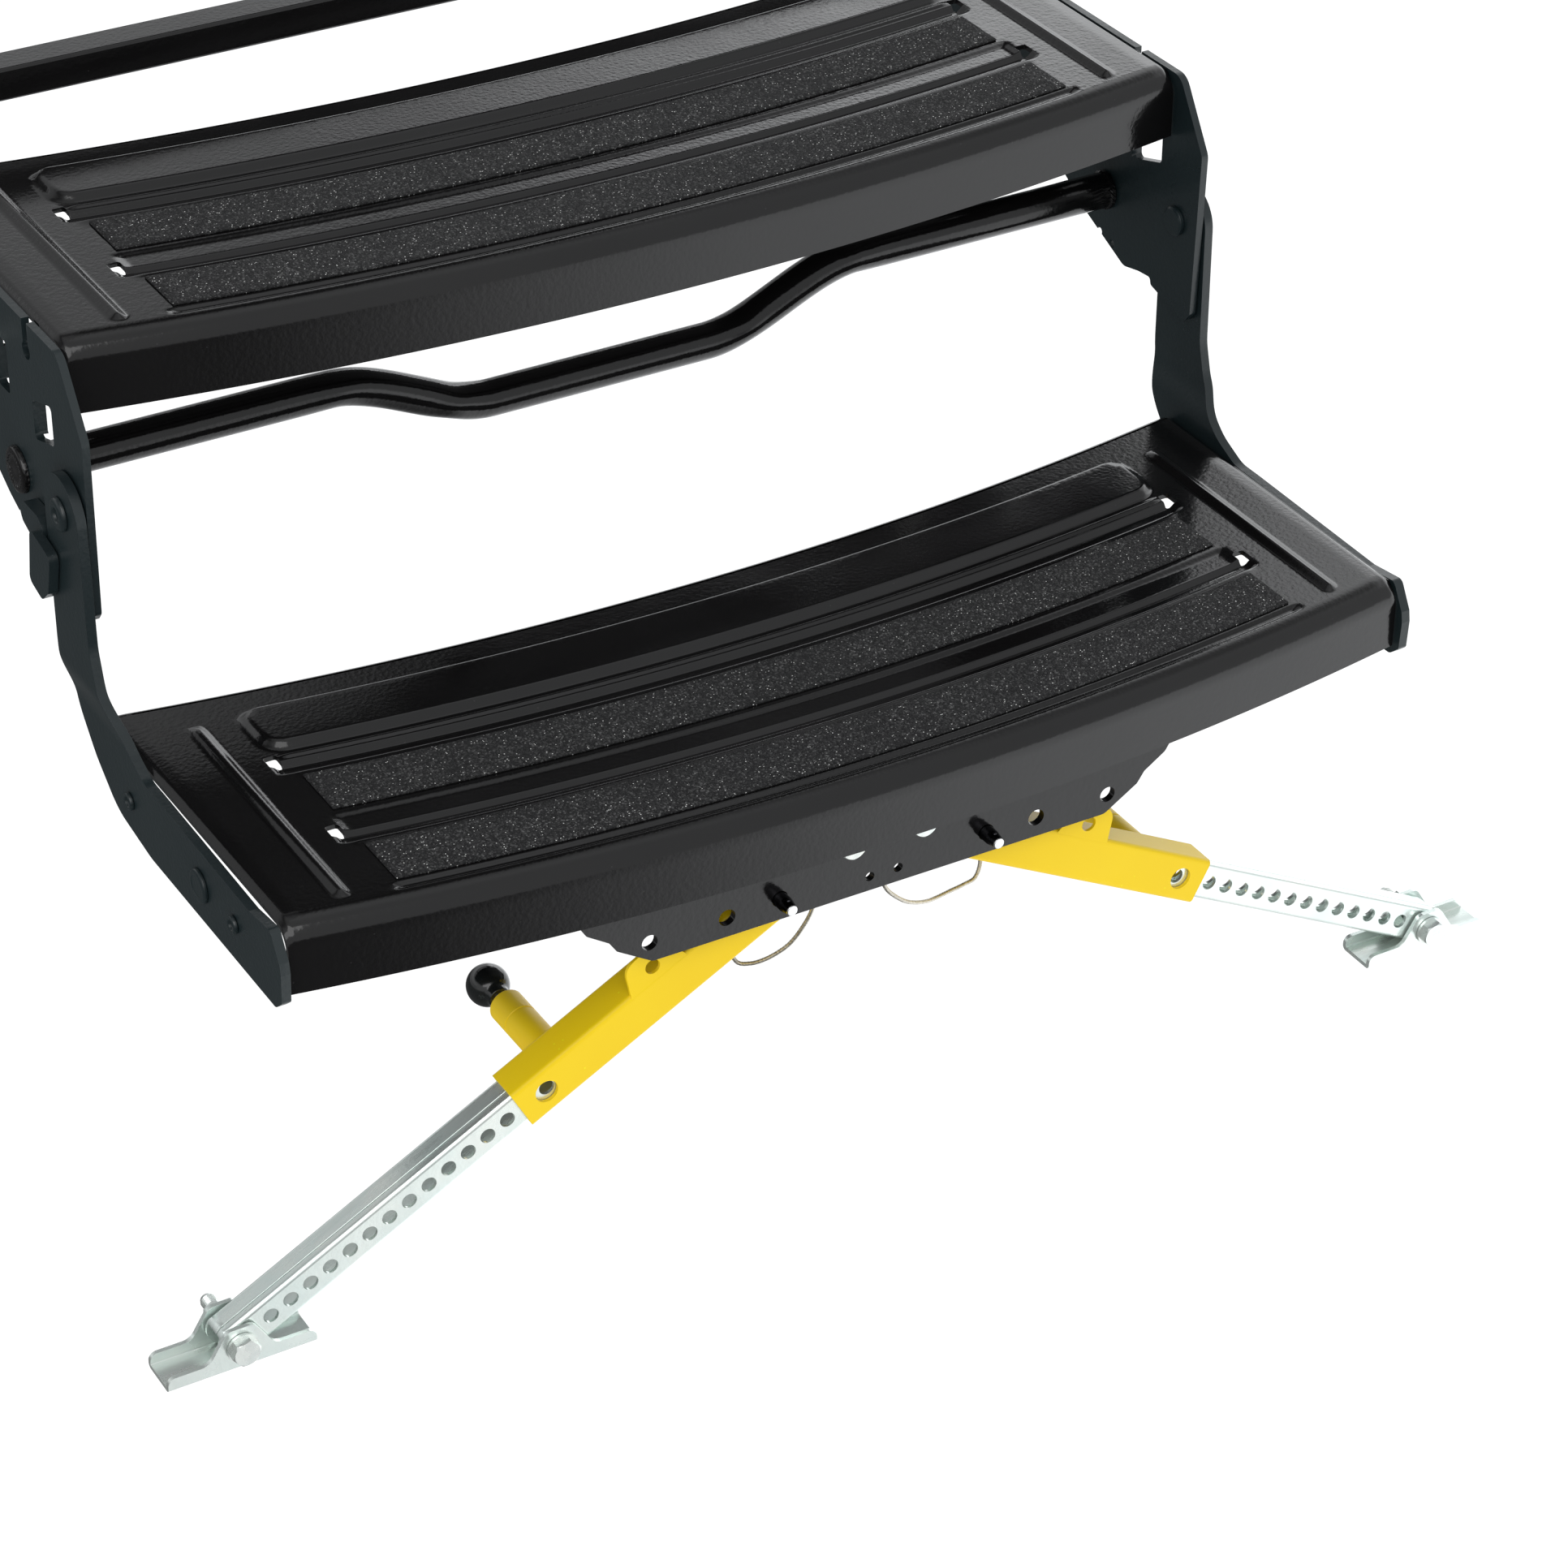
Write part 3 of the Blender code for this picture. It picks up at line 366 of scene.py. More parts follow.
def grit_paint():
    """Grit tape: packed dark grains, with painted glints: a few grains painted near white where light would
    catch their facets.
    """
    made = Paint("grit_tape", (0.02, 0.02, 0.02), 0.0, 0.9)
    grains = made.cells(1150.0)
    tiny = made.cells(2300.0)
    split = made.parts("Color", grains["Color"])
    tone = made.ramp(split["Green"], [
        (0.0, (0.006, 0.006, 0.0065)),
        (0.55, (0.02, 0.02, 0.021)),
        (0.86, (0.05, 0.05, 0.05)),
        (1.0, (0.13, 0.13, 0.13)),
    ])
    # painted glints: a few random grains get a near white colour and a lower roughness, standing in for light
    # caught by their facets
    bright = made.math("GREATER_THAN", split["Red"], 0.962)
    middle = made.math("LESS_THAN", grains["Distance"], 0.36)
    painted_glint = made.math("MULTIPLY", bright, middle)
    patch = made.span(made.noise(55.0, 2.0, 0.5), 0.0, 0.35, 0.35, 0.65)
    base = made.mix(patch, tone, (0.011, 0.011, 0.012))
    color = made.mix(painted_glint, base, (0.86, 0.86, 0.84))
    made.finish(Base_Color=color, Roughness=made.span(painted_glint, 0.88, 0.3), Specular_IOR_Level=0.35)
    made.bump([
        (grains["Distance"], 0.9, -0.0007),
        (tiny["Distance"], 0.6, -0.0003),
        (made.noise(420.0, 3.0, 0.6), 0.4, 0.0005),
    ])
    return made.made


def zinc_paint(name, cool, warm, low, high, along=(1.0, 1.0, 1.0)):
    """Bright zinc plate: bluish and yellowish patches, drawn lines and small pits."""
    made = Paint(name, cool, 0.78, low)
    cloud = made.noise(16.0, 4.0, 0.6, distortion=0.6)
    drawn = made.noise(170.0, 3.0, 0.6, vector=made.stretched(along))
    between = tuple((a + b) / 2 for a, b in zip(cool, warm))
    tone = made.ramp(cloud, [(0.32, cool), (0.52, between), (0.7, warm)])
    dull = tuple(c * 0.82 for c in cool)
    color = made.mix(made.span(drawn, 0.0, 0.4, 0.45, 0.7), tone, dull)
    lines = made.span(drawn, low, high, 0.35, 0.65)
    rough = made.math("ADD", lines, made.span(cloud, -0.03, 0.05, 0.3, 0.7))
    made.finish(Base_Color=color, Roughness=rough)
    made.bump([
        (made.noise(260.0, 3.0, 0.55), 0.12, 0.0004),
        (drawn, 0.12, 0.0002),
        (made.noise(1500.0, 2.0, 0.6), 0.12, 0.0001),
    ])
    return made.made


def pin_paint():
    """Blackened shank, with a bright turned tip."""
    made = Paint("quick_pin", (0.05, 0.05, 0.055), 1.0, 0.22)
    along = made.parts("XYZ", made.spot)["Y"]
    tip = made.math("LESS_THAN", along, (PIN_BRIGHT_Y - ORIGIN.y) * MM)
    cloud = made.noise(120.0, 3.0, 0.6)
    shank = made.ramp(cloud, [(0.3, (0.03, 0.03, 0.034)), (0.7, (0.10, 0.10, 0.11))])
    worn = made.span(cloud, 0.16, 0.32, 0.3, 0.7)
    rough = made.math("ADD", worn, made.math("MULTIPLY", tip, 0.08))
    made.finish(Base_Color=made.mix(tip, shank, (0.9, 0.9, 0.9)), Roughness=rough)
    made.bump([(made.noise(1800.0, 2.0, 0.6), 0.1, 0.0001)])
    return made.made


def knob_paint():
    made = Paint("knob_plastic", (0.006, 0.007, 0.007), 0.0, 0.16)
    rough = made.span(made.noise(60.0, 3.0, 0.6), 0.1, 0.22, 0.3, 0.7)
    stops = [(0.3, (0.005, 0.006, 0.006)), (0.7, (0.012, 0.014, 0.014))]
    made.finish(Base_Color=made.ramp(made.noise(40.0), stops), Roughness=rough)
    made.bump([(made.noise(350.0), 0.05, 0.0003)])
    made.finish(Coat_Weight=0.4, Coat_Roughness=0.05)
    return made.made


def wire_paint(name, metallic, dark, light, rough, patch, grain):
    """Drawn wire. rough is (low, high), patch a noise scale, grain a noise scale and a strength."""
    made = Paint(name, light, metallic, rough[0])
    cloud = made.noise(patch, 2.0, 0.6)
    uneven = made.span(cloud, *rough, 0.3, 0.7)
    made.finish(Base_Color=made.ramp(cloud, [(0.3, dark), (0.7, light)]), Roughness=uneven)
    made.bump([(made.noise(grain[0]), grain[1], 0.0001)])
    return made.made


BLACK = coat_paint("black_coat", (0.0036, 0.0034, 0.0036), (0.0054, 0.0051, 0.0053), 0.10, 0.16, 0.11)
PLATE = coat_paint("plate_coat", (0.0085, 0.0145, 0.0165), (0.012, 0.0195, 0.0215), 0.26, 0.36)
YELLOW = coat_paint("yellow_coat", (0.88, 0.60, 0.002), (0.92, 0.65, 0.004), 0.34, 0.44, 0.08, 0.3)
GRIT = grit_paint()
ZINC = zinc_paint("zinc_plate", (0.78, 0.885, 0.855), (0.90, 0.935, 0.885), 0.2, 0.32, (0.12, 1.0, 0.12))
BOLT = zinc_paint("zinc_bolt", (0.78, 0.85, 0.84), (0.88, 0.89, 0.83), 0.18, 0.3)
PIN = pin_paint()
KNOB = knob_paint()
ROPE = wire_paint("wire_rope", 0.85, (0.42, 0.39, 0.33), (0.78, 0.75, 0.66), (0.3, 0.5), 900.0, (4200.0, 0.4))
STEEL_TONES = ((0.32, 0.32, 0.33), (0.55, 0.55, 0.56))
SPRING = wire_paint("spring_steel", 1.0, *STEEL_TONES, (0.22, 0.42), 500.0, (2500.0, 0.2))

# ---- shape tools


def solid(verts, faces):
    made = bmesh.new()
    points = [made.verts.new(p) for p in verts]
    for face in faces:
        made.faces.new([points[i] for i in face])
    bmesh.ops.recalc_face_normals(made, faces=made.faces)
    return made


def loft(loops, closed=False):
    """A solid through loops of as many points each. closed joins the last loop to the first."""
    count = len(loops[0])
    faces = []
    for k in range(len(loops) if closed else len(loops) - 1):
        n = (k + 1) % len(loops)
        for i in range(count):
            j = (i + 1) % count
            faces.append([k * count + i, k * count + j, n * count + j, n * count + i])
    if not closed:
        faces.append(list(range(count)))
        faces.append(list(range((len(loops) - 1) * count, len(loops) * count)))
    return solid([point for loop in loops for point in loop], faces)


def fillet(corners, radius, step=9.0):
    """The outline with rounded corners: one radius, or one for each corner."""
    count = len(corners)
    radii = [radius] * count if isinstance(radius, (int, float)) else radius
    out = []
    for i, corner in enumerate(corners):
        here = Vector(corner)
        before = Vector(corners[i - 1]) - here
        after = Vector(corners[(i + 1) % count]) - here
        angle = before.angle(after)
        if radii[i] <= 0 or angle > math.radians(176):
            out.append(tuple(here))
            continue
        reach = radii[i] / math.tan(angle / 2)
        reach = min(reach, 0.48 * before.length, 0.48 * after.length)
        used = reach * math.tan(angle / 2)
        start = here + before.normalized() * reach
        end = here + after.normalized() * reach
        middle = (before.normalized() + after.normalized()).normalized()
        centre = here + middle * (used / math.sin(angle / 2))
        steps = max(2, round((math.pi - angle) / math.radians(step)))
        a = start - centre
        b = end - centre
        whole = a.angle(b)
        for k in range(steps + 1):
            t = k / steps
            p = a * (math.sin((1 - t) * whole) / math.sin(whole))
            q = b * (math.sin(t * whole) / math.sin(whole))
            out.append(tuple(centre + p + q))
    return out


def place(axis, a, b, t):
    """The point at a, b of a section that stands at t on the axis."""
    if axis == "x":
        return (t, a, b)
    if axis == "y":
        return (a, t, b)
    return (a, b, t)


def prism(outline, axis, low, high):
    return loft([[place(axis, a, b, t) for a, b in outline] for t in (low, high)])


def rect(a0, a1, b0, b1):
    return [(a0, b0), (a1, b0), (a1, b1), (a0, b1)]


def box(x0, x1, y0, y1, z0, z1):
    return prism(rect(x0, x1, y0, y1), "z", z0, z1)


def ring(a, b, radius, sides, turned=0.0):
    step = 2 * math.pi / sides
    return [
        (a + radius * math.cos(i * step + turned), b + radius * math.sin(i * step + turned))
        for i in range(sides)
    ]


def rod(axis, a, b, radius, low, high, sides=ROUND):
    return prism(ring(a, b, radius, sides), axis, low, high)


def lathe(axis, a, b, profile, sides=ROUND):
    """A turned shape. The profile lists (place on the axis, radius)."""
    return loft([[place(axis, p, q, t) for p, q in ring(a, b, radius, sides)] for t, radius in profile])


def side_lathe(side, y, z, profile, sides=ROUND):
    return lathe("x", y, z, [(side * t, radius) for t, radius in profile], sides)


def sweep(path, radius, sides=20, lobes=0, twist=0.0, squeeze=None):
    """A bar along a path. lobes and twist give it the strands of a rope; squeeze flattens it at a point."""
    points = [Vector(p) for p in path]
    last = len(points) - 1
    tangents = [(points[min(i + 1, last)] - points[max(i - 1, 0)]).normalized() for i in range(last + 1)]
    side = tangents[0].orthogonal().normalized()
    loops = []
    turned = 0.0
    for index, (point, tangent) in enumerate(zip(points, tangents)):
        side = (side - tangent * side.dot(tangent)).normalized()
        other = tangent.cross(side)
        if index:
            turned += twist * (points[index] - points[index - 1]).length
        flat = squeeze(index) if squeeze else 1.0
        loop = []
        for i in range(sides):
            angle = 2 * math.pi * i / sides
            reach = radius
            if lobes:
                reach = radius * (0.84 + 0.16 * abs(math.cos(lobes * (angle - turned) / 2)))
            offset = side * (reach * math.cos(angle)) + other * (reach * math.sin(angle))
            offset.z *= flat
            offset.y /= max(0.8, flat)
            loop.append(tuple(point + offset))
        loops.append(loop)
    return loft(loops)


def loop_ring(centre, major, minor, normal, around=48, sides=12):
    axis = Vector(normal).normalized()
    side = axis.orthogonal().normalized()
    other = axis.cross(side)
    loops = []
    for k in range(around):
        angle = 2 * math.pi * k / around
        out = side * math.cos(angle) + other * math.sin(angle)
        wire = ring(0.0, 0.0, minor, sides)
        loops.append([tuple(Vector(centre) + out * (major + p) + axis * q) for p, q in wire])
    return loft(loops, closed=True)


def curve_through(points, fine):
    """A smooth line through points, each span in fine steps."""
    out = []
    spots = [Vector(p) for p in points]
    for i in range(len(spots) - 1):
        p0 = spots[max(i - 1, 0)]
        p1 = spots[i]
        p2 = spots[i + 1]
        p3 = spots[min(i + 2, len(spots) - 1)]
        once = p2 - p0
        twice = 2 * p0 - 5 * p1 + 4 * p2 - p3
        thrice = 3 * p1 - p0 - 3 * p2 + p3
        for k in range(fine):
            t = k / fine
            out.append(0.5 * (2 * p1 + once * t + twice * t * t + thrice * t**3))
    out.append(spots[-1])
    return out


def as_object(shape, name):
    mesh = bpy.data.meshes.new(name)
    shape.to_mesh(mesh)
    shape.free()
    made = bpy.data.objects.new(name, mesh)
    bpy.context.scene.collection.objects.link(made)
    return made


def combine(target, shapes, operation):
    for shape in shapes:
        helper = as_object(shape, "helper")
        step = target.modifiers.new("step", "BOOLEAN")
        step.operation = operation
        step.solver = "EXACT"
        step.object = helper
        bpy.context.view_layer.update()
        graph = bpy.context.evaluated_depsgraph_get()
        mesh = bpy.data.meshes.new_from_object(target.evaluated_get(graph))
        target.modifiers.clear()
        target.data = mesh
        bpy.data.objects.remove(helper, do_unlink=True)


def combined(shape, others, operation):
    """The shape after Booleans, as a bmesh again."""
    made = as_object(shape, "whole")
    combine(made, others, operation)
    result = bmesh.new()
    result.from_mesh(made.data)
    bpy.data.objects.remove(made, do_unlink=True)
    return result


def together(shapes):
    """Several shapes as one, for a single Boolean."""
    whole = shapes[0]
    for other in shapes[1:]:
        mesh = bpy.data.meshes.new("join")
        other.to_mesh(mesh)
        whole.from_mesh(mesh)
        other.free()
    return whole


BODY = {n: b for b, ns in frame["record"]["behaviour"]["bodies"].items() for n in ns}


def piece(node, paint, shape, add=(), cut=(), keep=(), bevel=0.35, sharp=32.0, extra=""):
    """A finished piece that stands for a CAD node, or goes with it when extra names it."""
    made = as_object(shape, "fine_" + node + extra)
    combine(made, add, "UNION")
    combine(made, cut, "DIFFERENCE")
    combine(made, keep, "INTERSECT")
    mesh = made.data
    mesh.transform(Matrix.Translation(-ORIGIN))
    mesh.transform(Matrix.Scale(MM, 4))
    mesh.materials.clear()
    mesh.materials.append(paint)
    for face in mesh.polygons:
        face.use_smooth = True
    if bevel:
        edge = made.modifiers.new("edges", "BEVEL")
        edge.width = bevel * MM
        edge.segments = 2
        edge.limit_method = "ANGLE"
        edge.angle_limit = math.radians(sharp)
        edge.use_clamp_overlap = True
        even = made.modifiers.new("shading", "WEIGHTED_NORMAL")
        even.keep_sharp = False
        even.weight = 50
    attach(made, BODY[node])
    if not extra:
        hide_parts(node)
    return made


def spread(side, low, high):
    """low and high on the x axis, for the right side or mirrored for the left."""
    return (low, high) if side > 0 else (-high, -low)


def ease(t):
    t = max(0.0, min(1.0, t))
    return t * t * (3 - 2 * t)


# ---- treads


def front_edge(x):
    radius = (ARC_SPAN**2 + ARC_RISE**2) / (2 * ARC_RISE)
    return radius - ARC_RISE - math.sqrt(radius**2 - x**2)


def band(value, low, high, edge):
    return ease((value - low + edge) / edge) * ease((high + edge - value) / edge)


def inside_round(x, v, half, low, high, corner):
    """Distance inside a rounded rectangle, positive within."""
    dx = abs(x) - (half - corner)
    dv = abs(v - (low + high) / 2) - ((high - low) / 2 - corner)
    outside = math.hypot(max(dx, 0.0), max(dv, 0.0))
    return corner - outside - min(max(dx, dv), 0.0)


def relief(x, v):
    """Height of the pressed pattern: pads, grooves, rear panel and end ribs."""
    across = abs(x)
    ends = ease((259.0 - across) / 5.0)
    short = ease((254.5 - across) / 7.0)
    height = -1.2 * band(v, 14.6, 16.4, 2.6) * short
    height += 0.5 * band(v, 56.4, 57.4, 1.6) * short
    height -= 3.0 * band(v, 61.2, 66.5, 2.8) * ends
    height -= 1.1 * band(v, 69.5, 80.0, 5.0) * short
    height += 0.5 * band(v, 123.4, 124.4, 1.6) * short
    height -= 3.0 * band(v, 128.6, 134.5, 2.8) * ends
    height += 1.0 * band(v, 140.4, 141.4, 2.0) * short
    height += 4.0 * ease(inside_round(x, v, 257.0, 144.8, 187.2, 13.0) / 5.5)
    if across > 265:
        height += 2.3 * ease(inside_round(across - 276.2, v, 4.8, 14.5, 181.0, 4.75) / 4.6)
    return height


def tread_stations(half):
    """Places across the tread, closer together near its ends."""
    right = [13.0 * k for k in range(19)]
    right += [x for x in (236.0 + 1.25 * k for k in range(60)) if x < half - 1.6]
    right.append(half - 0.9)
    return [-x for x in reversed(right[1:])] + right


def tread_rows():
    """Places from front to rear, closer together where the pattern is pressed."""
    rows = [13.0]
    while rows[-1] < 202.0:
        v = rows[-1]
        flat = 20 < v < 54 or 88.5 < v < 121 or 154 < v < 180 or v > 190
        rows.append(v + (3.4 if flat else 0.95))
    return rows


def tread_section():
    """The bent sheet: its outer face from the front lip to the back, then its inner face the other way."""
    outer = [(0.0, z) for z in (-LIP, -LIP + 2, -24.0, -FRONT_BEND - 1.5, -FRONT_BEND)]
    inner = [(SHEET, z) for _, z in outer]
    reach = FRONT_BEND - SHEET
    for k in range(1, 11):
        angle = math.radians(9 * k)
        outer.append((FRONT_BEND * (1 - math.cos(angle)), FRONT_BEND * (math.sin(angle) - 1)))
        inner.append((FRONT_BEND - reach * math.cos(angle), reach * math.sin(angle) - FRONT_BEND))
    for v in tread_rows():
        outer.append((v, 0.0))
        inner.append((v, -SHEET))
    bend = BACK_V - BACK_BEND_V
    reach = bend - SHEET
    for k in range(9):
        angle = math.radians(11.25 * k)
        outer.append((BACK_BEND_V + bend * math.sin(angle), bend * math.cos(angle) - bend))
        inner.append((BACK_BEND_V + reach * math.sin(angle), reach * math.cos(angle) - reach - SHEET))
    outer += [(BACK_V, -11.0), (BACK_V, -14.0)]
    inner += [(BACK_V - SHEET, -11.0), (BACK_V - SHEET, -14.0)]
    return outer + inner[::-1]


def tread_sheet(half, dy, dz):
    section = tread_section()
    loops = []
    for x in tread_stations(half):
        # the corners settle a little where the bend meets the end
        across = abs(x) - half
        settle = 0.5 * ease((across + 12.0) / 11.0) + 1.9 * ease((across + 4.0) / 3.1)
        loop = []
        for v, z in section:
            lift = relief(x, v) if FRONT_BEND <= v <= BACK_BEND_V else 0.0
            drop = settle if z > -14 else 0.0
            loop.append((x, front_edge(x) + v + dy, z + lift - drop + dz))
        loops.append(loop)
    return loft(loops)


def tread(node, half, dy, dz):
    flange = [(6.0, -34), (6.0, -4.2), (8.0, -2.9), (203, -2.9), (208, -6), (208, -26), (200, -34)]
    flange = [(y + dy, z + dz) for y, z in fillet(flange, [1, 1, 1, 3, 2, 6, 3])]
    flanges = [prism(flange, "x", *spread(side, half - SHEET, half)) for side in (-1, 1)]
    cuts = []
    for side in (-1, 1):
        for v in SLOT_V:
            x = side * SLOT_X
            y = front_edge(x) + v + dy
            outline = rect(x - SLOT_HALF[0], x + SLOT_HALF[0], y - SLOT_HALF[1], y + SLOT_HALF[1])
            cuts.append(prism(fillet(outline, 1.1, 30), "z", dz - 9, dz + 5))
    if node == "lower_tread":
        for y, z, shank, _ in ARM_RIVETS:
            for side in (-1, 1):
                span = spread(side, TREAD_HALF - 5, TREAD_HALF + 2)
                cuts.append(rod("x", y, z, shank + PLAY, *span, 16))
    piece(node, BLACK, tread_sheet(half, dy, dz), flanges, [together(cuts)], bevel=0.45, sharp=48)


def grip(node, v0, dy, dz, dice):
    """Grit tape: a thin strip whose edge is a little ragged from the grains."""
    steps = 150
    across = 10
    verts = []
    for k in range(steps + 1):
        x = -GRIP_HALF + 2 * GRIP_HALF * k / steps
        for i in range(across + 1):
            v = v0 + GRIP_DEPTH * i / across
            rag = GRIP_RAG * (dice.random() - 0.5) if i in (0, across) else 0.0
            jut = GRIP_RAG * (dice.random() - 0.5) if k in (0, steps) else 0.0
            lift = GRIP_THICK if 0 < i < across and 0 < k < steps else GRIP_THICK * 0.7
            verts.append((x + jut, front_edge(x) + v + rag + dy, dz + 0.3 + lift))
    under = len(verts)
    for k in range(steps + 1):
        x = -GRIP_HALF + 2 * GRIP_HALF * k / steps
        for i in range(across + 1):
            verts.append((x, front_edge(x) + v0 + GRIP_DEPTH * i / across + dy, dz + 0.15))
    width = across + 1
    faces = []
    for k in range(steps):
        for i in range(across):
            a = k * width + i
            quad = [a, a + width, a + width + 1, a + 1]
            faces.append(quad)
            faces.append([under + corner for corner in quad[::-1]])
    edges = [(k * width + i, (k + 1) * width + i) for k in range(steps) for i in (0, across)]
    edges += [(k * width + i, k * width + i + 1) for i in range(across) for k in (0, steps)]
    faces += [[a, b, under + b, under + a] for a, b in edges]
    piece(node, GRIT, solid(verts, faces), bevel=0)


def grips(prefix, dy, dz):
    dice = random.Random(7)
    for v0, mark in zip(GRIP_V, ("_front", "_rear")):
        grip(prefix + mark, v0, dy, dz, dice)


tread("lower_tread", TREAD_HALF, 0.0, 0.0)
tread("upper_tread", UPPER_HALF, RUN, RISE)
grips("lower_grip", 0.0, 0.0)
grips("upper_grip", RUN, RISE)

# ---- frame and fold links


def frame_rail(side, mark):
    section = [(RAIL_IN, RAIL_Z0), (RAIL_IN + RAIL_FOOT, RAIL_Z0), (RAIL_IN + RAIL_FOOT, RAIL_Z0 + RAIL_T)]
    section += [(RAIL_IN + RAIL_T, RAIL_Z0 + RAIL_T), (RAIL_IN + RAIL_T, TOP_Z - RAIL_T)]
    section += [(RAIL_OUT, TOP_Z - RAIL_T), (RAIL_OUT, TOP_Z), (RAIL_IN, TOP_Z)]
    section = fillet(section, [3.5, 0.6, 0.6, 2.0, 2.0, 0.6, 0.6, 1.0])
    rail = prism([(side * x, z) for x, z in section], "y", RAIL_Y0, RAIL_Y1)
    span = spread(side, RAIL_IN - 2, RAIL_IN + 6)
    holes = [rod("x", y, z, PIVOT_HOLE, *span) for y, z in (FRAME_F, FRAME_R)]
    for y in RAIL_SLOT_Y:
        x = side * RAIL_SLOT_X
        outline = fillet(rect(x - 5, x + 5, y - 7, y + 7), 4.7)
        holes.append(prism(outline, "z", TOP_Z - 6, TOP_Z + 3))
    piece("frame_rail_" + mark, BLACK, rail, cut=[together(holes)])


def frame_bolt(side, mark, where, y, z):
    profile = [(320.9, 7.2), (321.3, 8.0), (322.2, 8.0), (322.2, 5.0), (327.8, 5.0), (327.8, 8.0)]
    profile += [(331.7, 8.0), (331.7, 5.0), (335.3, 5.0), (335.3, 9.0), (337.0, 8.9), (338.0, 7.6)]
    profile += [(338.3, 5.0), (337.6, 2.6), (337.6, 0.5)]
    piece("frame_bolt_%s_%s" % (where, mark), BOLT, side_lathe(side, y, z, profile), bevel=0.2)


def frame_bar(node, y):
    half = BAR_DEPTH / 2
    low = TOP_Z - BAR_H
    reach = RAIL_IN - PLAY
    outside = fillet(rect(y - half, y + half, low, TOP_Z), 1.8)
    within = rect(y - half + BAR_WALL, y + half - BAR_WALL, low + BAR_WALL, TOP_Z - BAR_WALL)
    hollow = prism(fillet(within, 0.6), "x", -reach - 5, reach + 5)
    piece(node, BLACK, prism(outside, "x", -reach, reach), cut=[hollow])


def fold_link(side, mark, where, start, end):
    outline = []
    for centre, base in ((start, LINK_TURN + math.pi), (end, LINK_TURN)):
        for k in range(25):
            angle = base - math.pi / 2 + math.pi * k / 24
            outline.append((centre[0] + LINK_HALF * math.cos(angle), centre[1] + LINK_HALF * math.sin(angle)))
    low, high = spread(side, LINK_IN, LINK_IN + LINK_T)
    holes = [rod("x", y, z, PIVOT_HOLE, low - 2, high + 2) for y, z in (start, end)]
    bar = prism(outline, "x", low, high)
    piece("%s_link_%s" % (where, mark), BLACK, bar, cut=[together(holes)], bevel=0.6)


for side, mark in SIDES:
    frame_rail(side, mark)
    frame_bolt(side, mark, "front", *FRAME_F)
    frame_bolt(side, mark, "rear", *FRAME_R)
frame_bar("frame_front_bar", BAR_Y[0])
frame_bar("frame_rear_bar", BAR_Y[1])
for where, start, end in (("front", FRAME_F, STEP_F), ("rear", FRAME_R, STEP_R)):
    for side, mark in SIDES:
        fold_link(side, mark, where, start, end)

# ---- side plates, cross rod and arms

PLATE_LINE = [(214, 193.5), (191, 157), (194, 64), (199, 58), (231, 66), (232, 70), (243, 69), (257, 66)]
PLATE_LINE += [(294, 82), (316, 95), (345, 112), (440, 112), (440, 189), (436, 193.5)]
PLATE_ROUND = [10, 8, 4, 4, 2, 2, 4, 8, 20, 20, 14, 12, 4, 4]
ARM_LINE = [(231, 112.5), (231, 25), (222, 0), (205, -20), (182, -38), (143, -44), (3, -44), (-4, -38)]
ARM_LINE += [(-5, -22), (-4, -16), (4, -2), (27, -5), (131, -3), (145, -3), (161, 4), (176, 14), (185, 30)]
ARM_LINE += [(190, 48), (191, 112.5)]
ARM_ROUND = [0, 60, 40, 40, 36, 40, 5, 3, 2, 3, 4, 6, 6, 20, 30, 30, 30, 30, 0]


def window_and_leaf(side, through, y, z, wide, tall, tilt):
    """A lanced window, and the leaf of sheet that is bent inward at its rear edge."""
    rise = tilt * wide / 2
    front = y - wide / 2
    rear = y + wide / 2
    window = [(front, z - tall / 2 + rise), (rear, z - tall / 2 - rise)]
    window += [(rear, z + tall / 2 - rise), (front, z + tall / 2 + rise)]
    near = PLATE_IN - 2.5
    far = PLATE_IN + 1.0
    leaf = [(near, rear - 0.6), (far, rear + 0.05), (far, rear + 3.2), (near, rear + 2.0)]
    bottom = z - tall / 2 - rise + 1.5
    top = min(z + tall / 2 - rise - 1.5, LEAF_TOP)
    leaf = prism([(side * a, b) for a, b in leaf], "z", bottom, top)
    return prism(fillet(window, 2.5), "x", *through), leaf


def upper_side(side, mark):
    low, high = spread(side, PLATE_IN, PLATE_IN + PLATE_T)
    through = (low - 3, high + 3)
    plate = prism(fillet(PLATE_LINE, PLATE_ROUND), "x", low, high)
    pairs = [window_and_leaf(side, through, *window) for window in WINDOWS]
    cuts = [window for window, _ in pairs]
    leaves = [leaf for _, leaf in pairs]
    cuts.append(box(*through, *NOTCH_Y, NOTCH_END[0] + 1, 200))
    notch_end = rod("x", sum(NOTCH_Y) / 2, *NOTCH_END, *through)
    for y, z in ((281.0, 76.5), (269.0, 74.0)):
        cuts.append(rod("x", y, z, 2.25, *through, 20))
    cuts.append(rod("x", ROD_Y, ROD_Z, 5.8, *through))
    for y, z in (ARM_PIVOT, STEP_F, STEP_R):
        cuts.append(rod("x", y, z, PIVOT_HOLE, *through))
    piece("upper_side_" + mark, PLATE, plate, leaves, [together(cuts), notch_end], bevel=0.6)


def step_pivot(side, mark, where, y, z, shank):
    profile = [(307.2, 7.2), (307.8, 8.0), (310.2, 8.0), (310.2, 5.0), (314.8, 5.0), (314.8, 8.0)]
    profile += [(322.2, 8.0), (322.2, shank), (327.8, shank), (327.8, 8.0), (329.4, 7.8), (330.2, 6.6)]
    profile += [(330.4, 4.0), (329.6, 2.2), (329.6, 0.5)]
    piece("step_pivot_%s_%s" % (where, mark), BOLT, side_lathe(side, y, z, profile), bevel=0.2)


